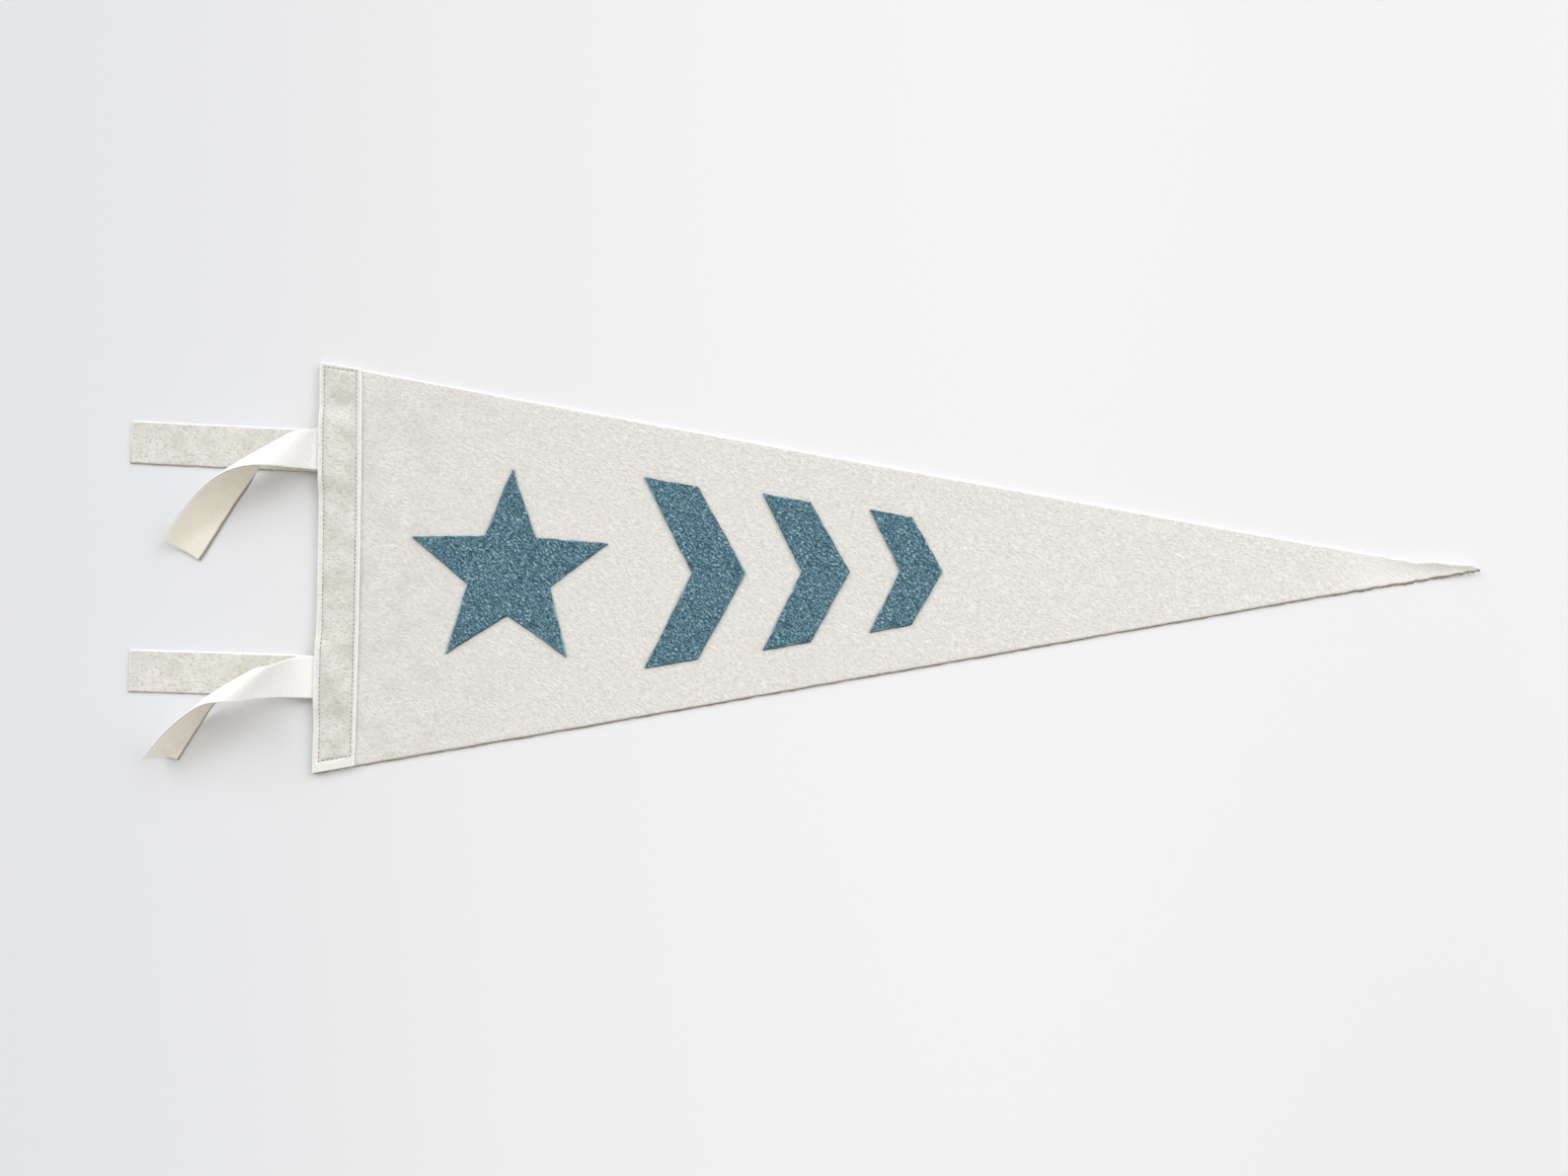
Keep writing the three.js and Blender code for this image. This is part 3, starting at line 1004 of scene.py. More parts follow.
@dataclass
class Heading(FeltPiece):
    """The strip sewn along the hoist, which rises softly over the ties' roots.

    Attributes:
        raised_half: how far from the middle of a root it is fully raised, mm.
        raised_depth: how far in from the hoist edge it is fully raised, mm.
        ramp_across: length of the ramps up and down the hoist, mm.
        ramp_along: length of the ramp towards the tip, mm.
        end_skew: how much of its length its slanted ends draw on, mm.
        roots: heights of the ties' roots, mm.
        root_thick: thickness of a tie where it is sewn in, mm.
        end_slope: fall of its ends, in mm for each mm towards the tip.
        lip: how much paler the felt is drawn outside the stitches.
        low_lip_highlight: how much paler it is drawn below the bottom stitches, a painted highlight on the
            lip that slopes up towards the light.
        marks: handling marks, and one spot of strength below 0 that is a painted highlight on the ramp
        over the upper root, each with its distance in, height, half width, half height and strength.
        stitching: the stitches that hold it.
    """

    name: str = "header"
    finish: Finish = Finish.STRIP
    flare: float = 0.12
    raised_half: float = 12.0
    raised_depth: float = 12.6
    ramp_across: float = 14.0
    ramp_along: float = 8.8
    end_skew: float = 12.0
    roots: tuple[float, float] = (61.3, -56.9)
    root_thick: float = 1.0
    end_slope: float = 0.18
    lip: float = 0.3
    low_lip_highlight: float = 0.5
    marks: tuple[tuple[float, float, float, float, float], ...] = (
        (6.6, 89.4, 3.4, 1.8, 2.6),
        (12.0, 86.6, 5.0, 3.6, 1.2),
        # A painted highlight: the ramp over the upper root faces the light, so it is drawn with less of the
        # handling marks.
        (9.6, 79.8, 6.5, 7.0, -1.0),
    )
    stitching: StitchLine = field(default_factory=StitchLine)

    def ends(self, inside: float) -> tuple[float, float]:
        """Gives the heights of its lower and upper cut ends at a distance in from the hoist edge."""
        reach = HOIST.height / 2 - self.end_slope * inside
        return -reach, reach

    def cut(self, bm: bmesh.types.BMesh) -> None:
        """Cuts the strip, with its grid closer near the stitched ends.

        Args:
            bm: the empty mesh.
        """
        columns = [at_station(station, STRIP_WIDTH, self.rim) for station in rimmed(42)]
        reach = HOIST.height / 2
        tail = [at_station(station, 2 * reach, self.rim) for station in rimmed(1)[:4]]
        dense = stops(self.rim, self.end_skew, 26)
        low = [-reach + step for step in [*tail, *dense]]
        rows = [*low, *stops(low[-1], -low[-1], 170)[1:-1], *(-value for value in reversed(low))]

        def place(inside: float, level: float) -> tuple[float, float]:
            """Gives the point of a column and a row, drawn along by the slanted end."""
            slant = self.ends(inside)[1 if level > 0 else 0] - math.copysign(reach, level)
            return inside, level + slant * max(abs(level) - reach + self.end_skew, 0.0) / self.end_skew

        map_grid(bm, columns, rows, place)

    def from_edge(self, x: float, y: float) -> float:
        """Gives how far a place in the cloth is from the nearest cut edge, mm."""
        low, high = self.ends(x)
        return min(x, STRIP_WIDTH - x, high - y, y - low)

    def raised(self, inside: float, y: float) -> float:
        """Gives how far the ties' roots raise it at a place.

        Args:
            inside: distance in from the hoist edge, mm.
            y: height, mm.

        Returns:
            How far, mm.
        """
        depth = ease((self.raised_depth + self.ramp_along - inside) / self.ramp_along)
        off = min(abs(y - root) for root in self.roots)
        across = ease((self.raised_half + self.ramp_across - off) / self.ramp_across)
        return depth * across * 2 * (self.root_thick + SEWN_GAP)

    def dent(self, x: float, y: float) -> float:
        """Gives how far the topstitching draws the face in at a place in the cloth, mm."""
        return self.stitching.groove(x, y)

    def pale_and_highlight_share(self, x: float, y: float) -> float:
        """Gives how much the nearest cut edge pales: all round."""
        return 1.0

    def clean_and_highlight(self, x: float, y: float) -> float:
        """Gives how much paler the felt's face is drawn: on the lips outside the stitches, most on the
        lowest.

        Args:
            x: distance in from the hoist edge, mm.
            y: height, mm.

        Returns:
            How much paler, 0 to 1.
        """
        if not self.stitching.outside(x, y):
            return 0.0
        bottom_stitches = self.stitching.corners[3][1] + 1.5
        # The lip below the bottom stitches slopes up towards the light: it gets more, a painted highlight.
        return self.low_lip_highlight if y < bottom_stitches and x > 1 else self.lip

    def worn(self, x: float, y: float) -> float:
        """Gives how much the felt has been handled: inside the stitches, and more or less at its marks; the
        mark that lessens it is a painted highlight.
        """
        marks = (bell(x, mx, wide) * bell(y, my, high) * depth for mx, my, wide, high, depth in self.marks)
        return (0.0 if self.stitching.outside(x, y) else 1.0) + sum(marks)

    def lay(self, x: float, y: float, up: float) -> Vector:
        """Gives the point in the hoist's frame of a place in the cloth."""
        level = HOIST.seam(x) + self.raised(x, y) + self.thick / 2
        return Vector((HOIST.x(y) + x, y, level + up))

    def flat_size(self) -> tuple[float, float, float]:
        """Gives the width, length and area that it was cut to, mm."""
        area = STRIP_WIDTH * (HOIST.height - self.end_slope * STRIP_WIDTH)
        return STRIP_WIDTH, HOIST.height, area


# The ties

@dataclass
class FlatTie(FeltPiece):
    """A tail that lies flat: it leaves the seam and goes down to the surface.

    In the cloth, x runs towards the hoist from -length at the cut end to 0 at the seam.

    Attributes:
        root_y: height of its middle at the hoist edge, mm.
        slope: how much it rises away from the hoist, degrees.
        length: from the hoist edge to its cut end, mm.
        root_depth: how far it goes on under the heading, mm.
        root_thick: thickness to which the seam presses it, mm.
        root_ease: how far from the hoist edge it has its full thickness again, mm.
        drop_start: how far from the hoist edge it starts to go down, mm.
        drop_reach: over what length it goes down, mm.
    """

    finish: Finish = Finish.STRIP
    rests_on: tuple[str, ...] = ("panel", "floor")
    root_y: float = 0.0
    slope: float = 0.0
    length: float = 100.0
    root_depth: float = 12.0
    root_thick: float = 1.0
    root_ease: float = 8.0
    drop_start: float = 1.5
    drop_reach: float = 16.0

    def cut(self, bm: bmesh.types.BMesh) -> None:
        """Cuts the strip.

        Args:
            bm: the empty mesh.
        """
        near = [at_station(station, self.length, self.rim) for station in rimmed(1)[:4]]
        steps = [*near, *stops(self.rim, self.length + self.root_depth, 96)]
        columns = [step - self.length for step in steps]
        rows = [at_station(station, STRIP_WIDTH, self.rim) - STRIP_WIDTH / 2 for station in rimmed(22)]
        map_grid(bm, columns, rows, lambda x, y: (x, y))

    def from_edge(self, x: float, y: float) -> float:
        """Gives how far a place in the cloth is from the nearest cut edge, mm."""
        return min(x + self.length, STRIP_WIDTH / 2 - abs(y))

    def worn(self, x: float, y: float) -> float:
        """Gives how much the felt has been handled at a place in the cloth."""
        return 0.8

    def pressed(self, x: float) -> float:
        """Gives the share of its full thickness where it is sewn in and just outside."""
        return blend(self.root_thick / self.thick, 1.0, ease(-x / self.root_ease))

    def level(self, inside: float) -> float:
        """Gives the height of its underside at a distance in from the hoist edge."""
        return HOIST.seam(inside) * (1 - ease((-inside - self.drop_start) / self.drop_reach))

    def spread(self, x: float, y: float) -> Vector:
        """Gives the place of a point of the cloth seen from above, in the hoist's frame.

        Args:
            x: place in the cloth, mm.
            y: place in the cloth, mm.

        Returns:
            The place, mm.
        """
        turn = math.radians(self.slope)
        return Vector((
            HOIST.x(self.root_y) + x * math.cos(turn) + y * math.sin(turn),
            self.root_y - x * math.sin(turn) + y * math.cos(turn),
        ))

    def lay(self, x: float, y: float, up: float) -> Vector:
        """Gives the point in the hoist's frame of a place in the cloth.

        Args:
            x: place in the cloth, mm.
            y: place in the cloth, mm.
            up: distance up from the cloth's middle, mm.

        Returns:
            The point, mm.
        """
        plan = self.spread(x, y)
        share = self.pressed(x)
        level = self.level(plan.x - HOIST.x(plan.y)) + share * (self.thick / 2 + up)
        return Vector((plan.x, plan.y, max(level, 0.0)))

    def flat_size(self) -> tuple[float, float, float]:
        """Gives the width, length and area that it was cut to, mm."""
        length = self.length + self.root_depth
        return STRIP_WIDTH, length, STRIP_WIDTH * length


@dataclass
class CurledTie(FlatTie):
    """A tail that rolls over and under.

    Straight lines fan out in the cloth from an apex beyond its upper edge at the seam, and it bends only from
    line to line. A line's turn is its angle in the cloth from the seam, in degrees. The felt also gives: its
    upper edge is drawn down a little.

    Attributes:
        under: the flat tail of its pair.
        apex: how far beyond the upper edge the lines meet, mm.
        rise: the whole upward bend.
        rise_at: the turn at its middle.
        rise_spread: how far it spreads to each side.
        roll: the whole bend over and under.
        roll_at: the turn at its middle.
        roll_spread: how far it spreads to each side.
        late: the slow bend in the tail.
        give: how far the upper edge is drawn down, mm.
        give_at: how far along the tie it is drawn down most, mm.
        give_spread: how far that spreads to each side, mm.
        slant: how far its slanted cut stands out along the tail's inner edge, mm.
        slant_at: how far along the tie that cut begins to show, mm.
        slant_ease: over what length it comes to show, mm.
        face_highlight: how much paler its face is drawn than the flat tails', 0 to 1: a painted highlight
            where the roll turns its face to the light.
        fan_step: turn from one line to the next, degrees.
        fan_end: turn of the last line.
        late_back: how much sooner than the middle of the last lines the slow bend is strongest.
        settle: how softly it comes to rest on what lies under it, mm.
        leave_seam: how far from the seam it is free of it, mm.
        under_margin: how far beyond the flat tail's edges it still keeps clear of it, mm.
        under_fade: over what width it then goes down to the surface, mm.
    """

    under: FlatTie = field(default_factory=lambda: FlatTie(name="", finish=Finish.STRIP))
    apex: float = 10.0
    rise: float = 60.0
    rise_at: float = 20.0
    rise_spread: float = 20.0
    roll: float = 150.0
    roll_at: float = 52.0
    roll_spread: float = 20.0
    late: float = 60.0
    give: float = 5.0
    give_at: float = 35.0
    give_spread: float = 40.0
    flare: float = 0.0
    slant: float = 1.5
    slant_at: float = 40.0
    slant_ease: float = 20.0
    # Painted highlight: the roll's face is drawn nearly white where it turns to the light.
    face_highlight: float = 0.95
    fan_step: float = 0.5
    fan_end: float = 90.0
    late_back: float = 6.0
    settle: float = 0.5
    leave_seam: float = 6.0
    under_margin: float = 1.0
    under_fade: float = 5.0

    def fan(self) -> list[Vector]:
        """Gives the direction of each straight line, from the seam on.

        Returns:
            One direction for each step of turn.
        """
        late_at = (self.roll_at + self.roll_spread + self.fan_end) / 2 - self.late_back
        late_spread = (self.fan_end - self.roll_at) / 2 + 2 * self.late_back
        line, onward = Vector((0, -1, 0)), Vector((-1, 0, 0))
        lines = [line.copy()]
        for step in range(round(self.fan_end / self.fan_step)):
            turn = (step + 0.5) * self.fan_step
            bend = self.rise * hump(turn, self.rise_at, self.rise_spread)
            bend -= self.roll * hump(turn, self.roll_at, self.roll_spread)
            bend -= self.late * hump(turn, late_at, late_spread)
            swing = -(onward.cross(line) + line * bend)
            angle = math.radians(swing.length * self.fan_step)
            rotation = Matrix.Rotation(angle, 3, swing.normalized())
            line, onward = rotation @ line, rotation @ onward
            lines.append(line.copy())
        return lines

    def cut(self, bm: bmesh.types.BMesh) -> None:
        """Cuts the strip, with its grid along the cloth's straight lines.

        Args:
            bm: the empty mesh.
        """
        self.lines = self.fan()
        near, far = self.apex, self.apex + STRIP_WIDTH
        inner = self.length - self.rim
        last = math.atan2(inner, far)
        end = [(self.length - self.rim * step, self.length - self.rim * step) for step in RIM_STEPS]
        corner = [(blend(near * math.tan(last), inner, share), inner) for share in stops(1, 1 / 12, 11)]
        fanned = [(near * math.tan(turn), far * math.tan(turn)) for turn in stops(last, 0, 110)]
        root = [(along, along) for along in stops(-self.root_depth / 6, -self.root_depth, 5)]
        rows = [at_station(station, STRIP_WIDTH, self.rim) - STRIP_WIDTH / 2 for station in rimmed(24)]

        def place(pair: tuple[float, float], y: float) -> tuple[float, float]:
            """Gives the point of a line, by its distances along the two edges, and a row."""
            return -blend(pair[1], pair[0], y / STRIP_WIDTH + 0.5), y

        map_grid(bm, [*end, *corner, *fanned, *root], rows, place)

    def slanted(self, x: float) -> float:
        """Gives how much the slanted cut shows at a distance along the tie, 0 to 1."""
        return ease((-x - self.slant_at) / self.slant_ease)

    def stand_out(self, x: float, y: float, side: int, outward: float) -> float:
        """Gives how far the front's last points stand out beyond the upper edge, mm."""
        return self.slant * self.slanted(x) if side > 0 and outward > 0 else 0.0

    def pale_and_highlight_share(self, x: float, y: float) -> float:
        """Gives how much the nearest cut edge pales: all round, but not along the slanted cut."""
        return 1 - self.slanted(x) * (1.0 if y > 0 else 0.0)

    def clean_and_highlight(self, x: float, y: float) -> float:
        """Gives how much paler the felt's face is drawn: all over, a painted highlight on the roll's face."""
        return self.face_highlight

    def level_under(self, x: float, y: float) -> float:
        """Gives the height of whatever lies under it: the surface, or the flat tail of its pair.

        Args:
            x: place in the hoist's frame, mm.
            y: place in the hoist's frame, mm.

        Returns:
            The height, mm.
        """
        turn = math.radians(self.under.slope)
        off_x, off_y = x - HOIST.x(self.under.root_y), y - self.under.root_y
        off = abs(off_x * math.sin(turn) + off_y * math.cos(turn)) - STRIP_WIDTH / 2
        top = self.under.level(x - HOIST.x(y)) + STRIP_THICK + SEWN_GAP
        return top * ease(1 - (off - self.under_margin) / self.under_fade)

    def middle(self, x: float, y: float) -> Vector:
        """Gives the point of the cloth's middle in the hoist's frame.

        Args:
            x: place in the cloth, mm.
            y: place in the cloth, mm.

        Returns:
            The point, mm.
        """
        along = min(-x, self.length + 1)
        plan = self.spread(-along, y)
        root_top = HOIST.seam(plan.x - HOIST.x(plan.y)) + self.root_thick + SEWN_GAP
        seam = root_top + self.thick * self.pressed(-along) / 2
        if along <= 0:
            return Vector((plan.x, plan.y, seam))
        apex = STRIP_WIDTH / 2 + self.apex
        step = math.degrees(math.atan2(along, apex - y)) / self.fan_step
        i = int(step)
        line = self.lines[i].lerp(self.lines[i + 1], step - i)
        point = line * math.hypot(along, apex - y)
        leave = ease(along / self.leave_seam)
        drawn = self.give * bell(along, self.give_at, self.give_spread) * (y / STRIP_WIDTH + 0.5) ** 2
        point.y += apex - leave * drawn
        point.rotate(Matrix.Rotation(-math.radians(self.slope), 3, "Z"))
        point += Vector((HOIST.x(self.root_y), self.root_y, seam))
        least = self.level_under(point.x, point.y) + STRIP_THICK / 2
        over = point.z - least
        settled = least + (over + math.sqrt(over * over + 4 * self.settle * self.settle)) / 2
        point.z = blend(seam, settled, leave)
        return point

    def lay(self, x: float, y: float, up: float) -> Vector:
        """Gives the point in the hoist's frame of a place in the cloth.

        Args:
            x: place in the cloth, mm.
            y: place in the cloth, mm.
            up: distance up from the cloth's middle, mm.

        Returns:
            The point, mm.
        """
        nudge = 0.05
        middle = self.middle(x, y)
        ahead = self.middle(x - nudge, y) - middle
        beside = self.middle(x, y + nudge) - middle
        return middle + beside.cross(ahead).normalized() * (up * self.pressed(x))


# The blue pieces

@dataclass
class Applique(FeltPiece):
    """A blue shape, cut by hand and laid on the panel.

    Attributes:
        x: how far from the hoist its own place is, mm.
        y: how high its own place is, mm.
    """

    finish: Finish = Finish.BLUE
    rim: float = 0.6
    wobble: float = 0.35
    uneven: float = 0.08
    x: float = 0.0
    y: float = 0.0

    def pale_and_highlight_share(self, x: float, y: float) -> float:
        """Gives how much the nearest cut edge pales: in some places more than in others."""
        return 0.5 + 0.9 * wave(x, y, 7.0, self.seed() + 30)

    def corners(self) -> list[Vector]:
        """Gives the outline's corners about the shape's own place, anticlockwise, mm."""
        raise NotImplementedError

    def outline(self) -> list[tuple[Vector, Vector]]:
        """Gives the two ends of each side of the outline."""
        points = self.corners()
        return list(zip(points, points[1:] + points[:1]))

    def from_edge(self, x: float, y: float) -> float:
        """Gives how far a place in the cloth is from the nearest cut edge, mm."""
        point = Vector((x, y))
        return min(off_segment(point, a, b) for a, b in self.outline())

    def lay(self, x: float, y: float, up: float) -> Vector:
        """Gives the point in the hoist's frame of a place in the cloth."""
        return Vector((self.x + x, self.y + y, PANEL_THICK + SEWN_GAP + self.thick / 2 + up))

    def flat_size(self) -> tuple[float, float, float]:
        """Gives the size that it was cut to.

        Returns:
            Its width and height, mm, and its area, mm2.
        """
        points = self.corners()
        area = sum(a.x * b.y - b.x * a.y for a, b in self.outline()) / 2
        width = max(p.x for p in points) - min(p.x for p in points)
        height = max(p.y for p in points) - min(p.y for p in points)
        return width, height, abs(area)


@dataclass
class Star(Applique):
    """A five-pointed star.

    Attributes:
        radius: from its middle to its points, mm.
        inner_share: how far its inner corners are from its middle, as a share of the radius.
        turn: how far it is turned, degrees.
    """

    name: str = "star"
    x: float = 101.0
    y: float = -2.0
    radius: float = 54.0
    inner_share: float = 0.42
    turn: float = -2.0

    def corners(self) -> list[Vector]:
        """Gives the outline's corners about the star's middle.

        Returns:
            Ten corners from the top point on, anticlockwise, mm.
        """
        found = []
        for i in range(10):
            angle = math.radians(90 + self.turn + 36 * i)
            radius = self.radius * (self.inner_share if i % 2 else 1.0)
            found.append(Vector((math.cos(angle), math.sin(angle))) * radius)
        return found

    def cut(self, bm: bmesh.types.BMesh) -> None:
        """Cuts the star from five kites that meet in its middle.

        Args:
            bm: the empty mesh.
        """
        points = self.corners()
        kite = 30.0
        inner = [step / kite for step in stops(0, 28.6, 22)]
        side = inner + [1 - self.rim * step / kite for step in (1.0, *reversed(RIM_STEPS))]
        for i in range(0, 10, 2):
            after, tip, before = points[(i + 1) % 10], points[i], points[i - 1]

            def place(s: float, t: float) -> tuple[float, float]:
                """Gives the point of a kite at its shares of two sides."""
                spot = before * (s * (1 - t)) + tip * (s * t) + after * ((1 - s) * t)
                return spot.x, spot.y

            map_grid(bm, side, side, place)
        bmesh.ops.remove_doubles(bm, verts=bm.verts[:], dist=0.001)


@dataclass
class Chevron(Applique):
    """A chevron that points to the tip, its arms cut off along the pennant's edges.

    Attributes:
        half_height: height of its upper arm, mm.
        stroke: width of its arms along the pennant, mm.
        reach: how far its point stands ahead of its arms' ends, mm.
        edge_slope: fall of its arms' ends, in mm for each mm towards the tip.
    """

    half_height: float = 50.0
    stroke: float = 28.0
    reach: float = 25.0
    edge_slope: float = 0.18

    def corners(self) -> list[Vector]:
        """Gives the outline's corners about the chevron's own place.

        Returns:
            Six corners, anticlockwise, mm.
        """
        fall = self.stroke * self.edge_slope
        return [
            Vector((0, self.half_height)),
            Vector((self.reach, 0)),
            Vector((0, -self.half_height)),
            Vector((self.stroke, fall - self.half_height)),
            Vector((self.stroke + self.reach, 0)),
            Vector((self.stroke, self.half_height - fall)),
        ][::-1]

    def cut(self, bm: bmesh.types.BMesh) -> None:
        """Cuts the chevron as one bent band.

        Args:
            bm: the empty mesh.
        """
        across = [at_station(station, self.stroke, self.rim) for station in rimmed(16)]
        along = [at_station(station, 2.0, self.rim / self.half_height) - 1 for station in rimmed(56)]

        def place(x: float, share: float) -> tuple[float, float]:
            """Gives the point at a distance across the band and a share of its height."""
            height = self.half_height - self.edge_slope * x
            return x + self.reach * (1 - abs(share)), share * height

        map_grid(bm, across, along, place)


# The topstitching

@dataclass
class Topstitching:
    """The thread round the heading, above it and under the panel, and the painted shade of its needle holes.

    Attributes:
        heading: the strip that it holds.
        thread: width of the thread, mm.
        hole: length and width of a needle hole, mm.
        sunk: how far a stitch lies in the felt, mm.
        hole_depth: height of the shaded spot in a needle hole, mm.
        under_gap: how far a stitch under the panel stops short of its holes, mm.
    """

    heading: Heading
    thread: float = 0.44
    hole: tuple[float, float] = (0.95, 0.6)
    sunk: float = 0.02
    hole_depth: float = 0.3
    under_gap: float = 0.25

    def spots(self) -> Iterable[tuple[Vector, Vector]]:
        """Gives the two ends of each stitch, as distance in and height.

        Returns:
            The stitches in order round the rectangle.
        """
        line = self.heading.stitching
        for a, b in line.sides():
            count = round((b - a).length / line.pitch)
            for i in range(count):
                yield a.lerp(b, i / count), a.lerp(b, (i + 1) / count)

    def surface(self, spot: Vector, below: bool) -> Vector:
        """Gives the point of the felt's surface where the thread lies.

        Args:
            spot: distance in and height, mm.
            below: whether it is the panel's underside.

        Returns:
            The point in the hoist's frame, mm.
        """
        if below:
            return Vector((HOIST.x(spot.y) + spot.x, spot.y, HOIST.level(spot.x) + self.thread * 0.3))
        up = self.heading.thick / 2 - self.heading.dent(spot.x, spot.y)
        return self.heading.lay(spot.x, spot.y, up)

    def blob(
        self, bm: bmesh.types.BMesh, start: Vector, end: Vector, width: float, height: float, part: int
    ) -> None:
        """Adds one small rounded shape from start to end.

        Args:
            bm: the mesh that it is added to.
            start: one end, mm.
            end: the other end, mm.
            width: its width, mm.
            height: its thickness, mm.
            part: its number, which places its pattern.
        """
        cloth = bm.verts.layers.float_vector["cloth"]
        way = end - start
        turn = way.to_track_quat("X", "Z").to_matrix().to_4x4()
        size = Matrix.Diagonal((way.length / 2, width / 2, height / 2, 1))
        made = bmesh.ops.create_icosphere(bm, subdivisions=1, radius=1.0)["verts"]
        for vert in made:
            vert[cloth] = (size @ vert.co + Vector((part, 0, 0))) * MM
        bmesh.ops.transform(bm, matrix=Matrix.Translation((start + end) / 2) @ turn @ size, verts=made)
        for vert in made:
            vert.co = to_row(vert.co)

    def finish_mesh(
        self, bm: bmesh.types.BMesh, name: str, material: bpy.types.Material
    ) -> bpy.types.Object:
        """Turns the joined shapes into a piece.

        Args:
            bm: the mesh, which is freed.
            name: the piece's name.
            material: its finish.

        Returns:
            The finished object.
        """
        for face in bm.faces:
            face.smooth = True
        mesh = bpy.data.meshes.new(name)
        bm.to_mesh(mesh)
        bm.free()
        mesh.materials.append(material)
        piece = bpy.data.objects.new(name, mesh)
        bpy.context.scene.collection.objects.link(piece)
        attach(piece, "root")
        LOG.info("%s: %d faces", name, len(mesh.polygons))
        return piece

    def build(self) -> list[bpy.types.Object]:
        """Builds the stitches above and below and the painted shade of the needle holes.

        Returns:
            The finished objects.
        """
        thread, holes = bmesh.new(), bmesh.new()
        for bm in (thread, holes):
            bm.verts.layers.float_vector.new("cloth")
        lift = Vector((0, 0, self.thread / 2 - self.sunk))
        for part, (a, b) in enumerate(self.spots()):
            start, end = self.surface(a, False), self.surface(b, False)
            way = (end - start).normalized()
            short = way * (self.hole[0] * 0.3)
            first, last = start + short + lift / 2, end - short + lift / 2
            self.blob(thread, first, last, self.thread, self.thread, part)
            reach = way * self.hole[0] / 2
            # Each needle hole gets a dark blob: a painted shade.
            self.blob(holes, start - reach, start + reach, self.hole[1], self.hole_depth, part)
            low, high = self.surface(a, True), self.surface(b, True)
            gap = (high - low).normalized() * self.under_gap
            self.blob(thread, low + gap, high - gap, self.thread, self.thread / 2, part)
        return [
            self.finish_mesh(thread, "heading_stitches", ThreadFinish().build()),
            self.finish_mesh(holes, "heading_needle_hole_shade", ShadeFinish().build()),
        ]


# The studio

@dataclass(frozen=True)
class Softbox:
    """A soft light.

    Attributes:
        name: what it is.
        place: where it hangs, m.
        size: its width and height, m.
        power: in watts.
        colour: its colour.
    """

    name: str
    place: tuple[float, float, float]
    size: tuple[float, float]
    power: float
    colour: str = "FFFFFF"


@dataclass(frozen=True)
class FarWindow:
    """A wide soft light from so far away that it is equally strong everywhere.

    Attributes:
        name: what it is.
        azimuth: where it stands, degrees from +X towards +Y.
        elevation: how high it stands, degrees.
        spread: how wide it looks, degrees.
        strength: in watts a square metre.
        colour: its colour.
    """

    name: str
    azimuth: float
    strength: float
    elevation: float = 38.0
    spread: float = 40.0
    colour: str = "F6F9FF"


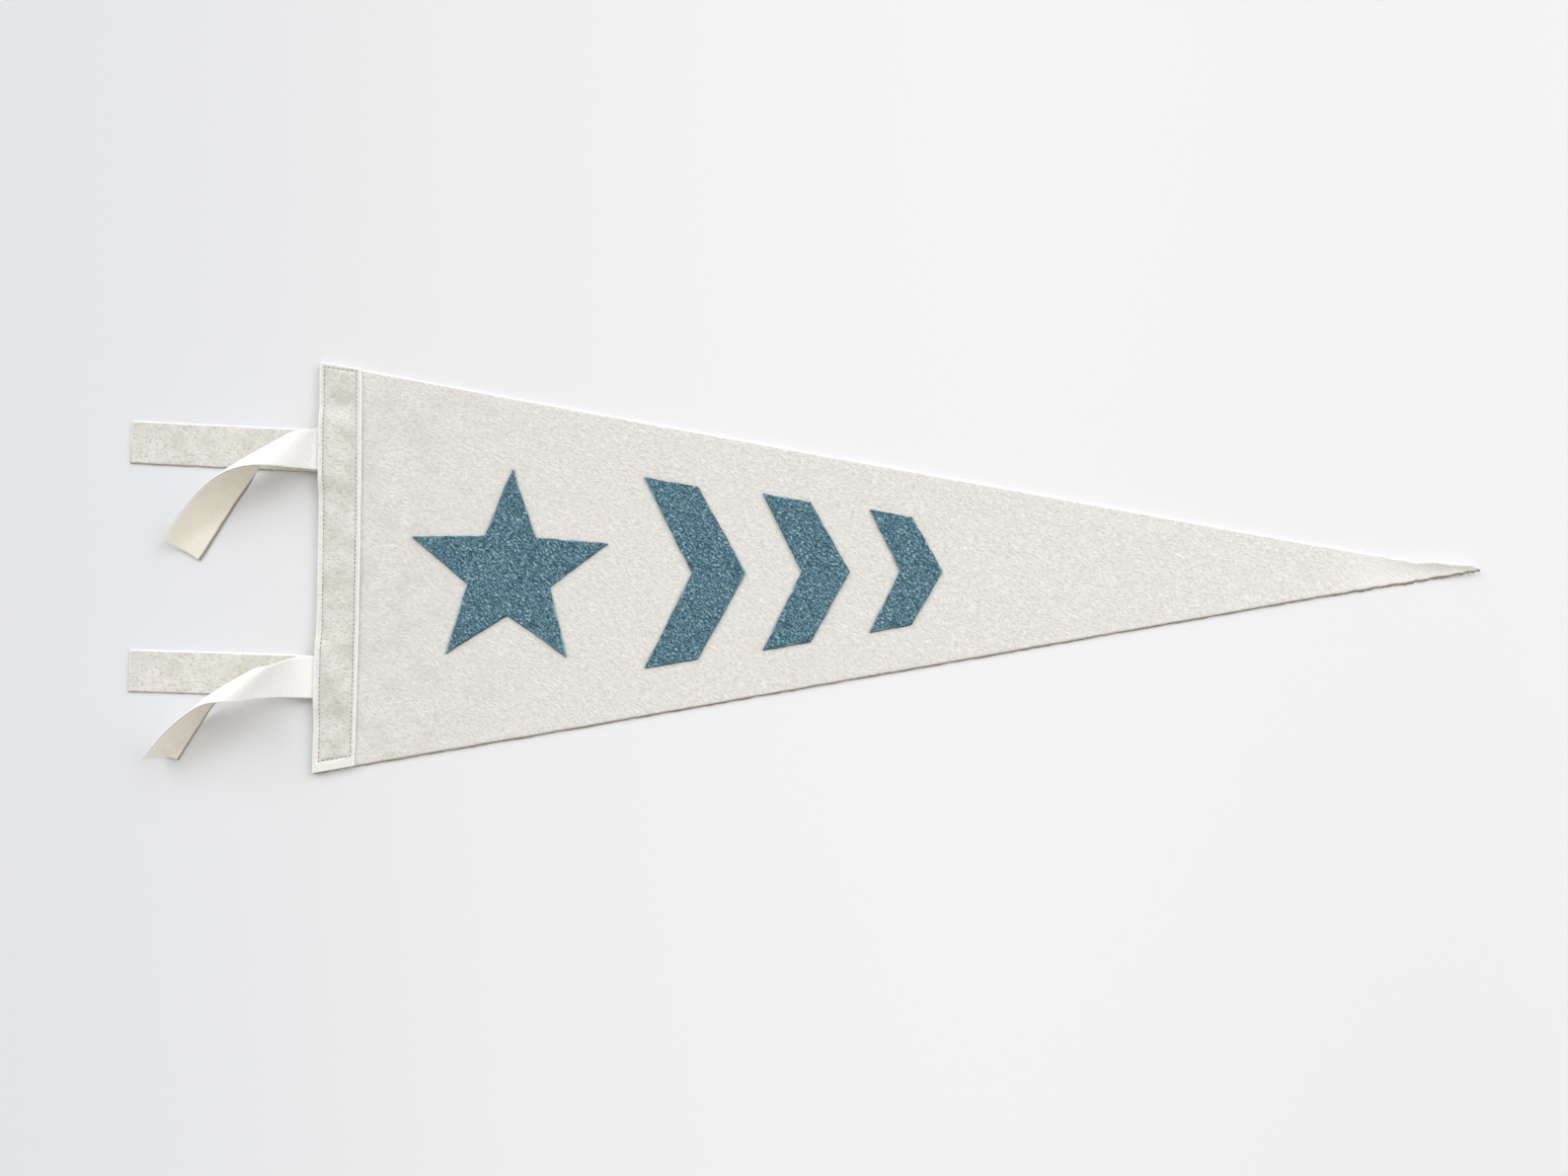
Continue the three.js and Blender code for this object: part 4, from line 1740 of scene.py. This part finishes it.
@dataclass
class Studio:
    """The pale floor, the soft light and the camera straight above.

    Attributes:
        camera_place: where the camera stands, m.
        view_width: width of the view at the panel's face, m.
        floor_side: side of the floor, m.
        board: the painted shade that greys the floor towards both sides of the view, for the light's falloff:
            from where to where, m, and its two colours.
        sky: strength of the light from all round.
        windows: the main lights.
        lights: the softboxes, which even out the floor.
    """

    camera_place: tuple[float, float, float] = (-0.0102, -0.0106, 0.750)
    view_width: float = 0.822
    floor_side: float = 6.0
    board: tuple[tuple[float, float, str, str], ...] = (
        (-0.42, -0.02, "E9EAEC", "F3F3F3"),
        (0.05, 0.4, "F3F3F3", "EDEDED"),
    )
    sky: float = 0.475
    windows: tuple[FarWindow, ...] = (
        FarWindow("left_window", 132.0, 1.2),
        FarWindow("right_window", 48.0, 1.2),
    )
    lights: tuple[Softbox, ...] = (Softbox("side_light", (1.25, 0.3, 1.0), (0.9, 0.9), 4.3),)

    def floor(self) -> None:
        """Lays the matte painted board under the pennant, with a painted shade that greys it towards both
        sides of the view, so that it is brightest in the middle.
        """
        bm = bmesh.new()
        bmesh.ops.create_grid(bm, x_segments=1, y_segments=1, size=self.floor_side / 2)
        mesh = bpy.data.meshes.new("floor")
        bm.to_mesh(mesh)
        bm.free()
        board = bpy.data.objects.new("floor", mesh)
        bpy.context.scene.collection.objects.link(board)
        material = bpy.data.materials.new("matte_board_with_painted_falloff")
        material.use_nodes = True
        tree = material.node_tree
        tree.nodes.clear()
        place = add(tree, "ShaderNodeTexCoord").outputs["Object"]
        across = add(tree, "ShaderNodeSeparateXYZ", {}, {0: place}).outputs["X"]
        colour: Any = None
        # A painted shade: the board greys towards both sides of the view as the light falls off.
        for start, end, under, over in self.board:
            settings = {"interpolation_type": "SMOOTHSTEP", "From Min": start, "From Max": end}
            share = add(tree, "ShaderNodeMapRange", settings, {"Value": across}).outputs["Result"]
            mixing = {"data_type": "RGBA", MIX_A: linear(under), MIX_B: linear(over)}
            links = {0: share} if colour is None else {0: share, MIX_A: colour}
            colour = add(tree, "ShaderNodeMix", mixing, links).outputs[MIX_OUT]
        shader = add(
            tree,
            "ShaderNodeBsdfPrincipled",
            {"Roughness": 0.85, "Specular IOR Level": 0.2},
            {"Base Color": colour},
        )
        add(tree, "ShaderNodeOutputMaterial", {}, {"Surface": shader.outputs[0]})
        mesh.materials.append(material)

    def light(self) -> None:
        """Hangs the lights and sets the light from all round."""
        world = bpy.data.worlds.new("studio")
        bpy.context.scene.world = world
        world.use_nodes = True
        background = world.node_tree.nodes["Background"]
        background.inputs["Color"].default_value = linear("FFFCF6")
        background.inputs["Strength"].default_value = self.sky
        for window in self.windows:
            sun = bpy.data.lights.new(window.name, "SUN")
            sun.energy = window.strength
            sun.angle = math.radians(window.spread)
            sun.color = linear(window.colour)[:3]
            lamp = bpy.data.objects.new(window.name, sun)
            lamp.rotation_euler = (0.0, math.radians(90 - window.elevation), math.radians(window.azimuth))
            bpy.context.scene.collection.objects.link(lamp)
        for box in self.lights:
            data = bpy.data.lights.new(box.name, "AREA")
            data.shape = "RECTANGLE"
            data.size, data.size_y = box.size
            data.energy = box.power
            data.color = linear(box.colour)[:3]
            lamp = bpy.data.objects.new(box.name, data)
            lamp.location = box.place
            lamp.rotation_euler = (-Vector(box.place)).to_track_quat("-Z", "Y").to_euler()
            bpy.context.scene.collection.objects.link(lamp)

    def camera(self) -> None:
        """Hangs the camera straight above, with the photograph's field of view."""
        data = bpy.data.cameras.new("camera")
        data.sensor_fit = "HORIZONTAL"
        distance = self.camera_place[2] - PANEL_THICK * MM
        data.angle = 2 * math.atan(self.view_width / 2 / distance)
        data.clip_start, data.clip_end = 0.01, 20.0
        camera = bpy.data.objects.new("camera", data)
        camera.location = self.camera_place
        bpy.context.scene.collection.objects.link(camera)
        bpy.context.scene.camera = camera

    def build(self) -> None:
        """Sets up the floor, the light and the camera."""
        self.floor()
        self.light()
        self.camera()
        bpy.context.scene.view_settings.view_transform = "Standard"
        LOG.info("studio: floor, %d lights and camera", len(self.windows) + len(self.lights))


def main() -> None:
    """Builds the pennant's pieces in order."""
    logging.basicConfig(level=logging.INFO, format="%(name)s %(message)s")
    for finish in Finish:
        MATERIALS[finish.value.name] = finish.value.build()
    Studio().build()
    Panel().build()
    heading = Heading()
    heading.build()
    Topstitching(heading).build()
    upper_root, lower_root = heading.roots
    upper = FlatTie(name="tie_upper_flat", root_y=upper_root, slope=2.8, length=99.5)
    lower = FlatTie(name="tie_lower_flat", root_y=lower_root, slope=1.8, length=98.5)
    ties = [
        upper,
        lower,
        CurledTie(
            name="tie_upper_curled", under=upper, root_y=62.1, slope=4.2, length=104.1, apex=12.4,
            rise=73.0, rise_at=5.0, rise_spread=14.6, roll=189.0, roll_at=52.6, roll_spread=42.1,
            late=82.0, give=4.6, give_at=31.0, give_spread=38.2,
        ),
        CurledTie(
            name="tie_lower_curled", under=lower, root_y=-57.3, slope=2.6, length=108.6, apex=28.2,
            rise=91.0, rise_at=22.2, rise_spread=45.0, roll=120.0, roll_at=44.3, roll_spread=10.0,
            late=120.0, give=6.1, give_at=41.6, give_spread=39.2,
        ),
    ]
    for tie in ties:
        tie.build()
    Star().build()
    Chevron(name="chevron_1", x=172.0, y=-2.5, half_height=50.0, stroke=28.0, reach=25.0).build()
    Chevron(name="chevron_2", x=234.0, y=-2.0, half_height=41.0, stroke=25.0, reach=20.5).build()
    Chevron(name="chevron_3", x=290.0, y=-1.5, half_height=32.0, stroke=22.0, reach=16.0).build()


if __name__ == "__main__":
    main()
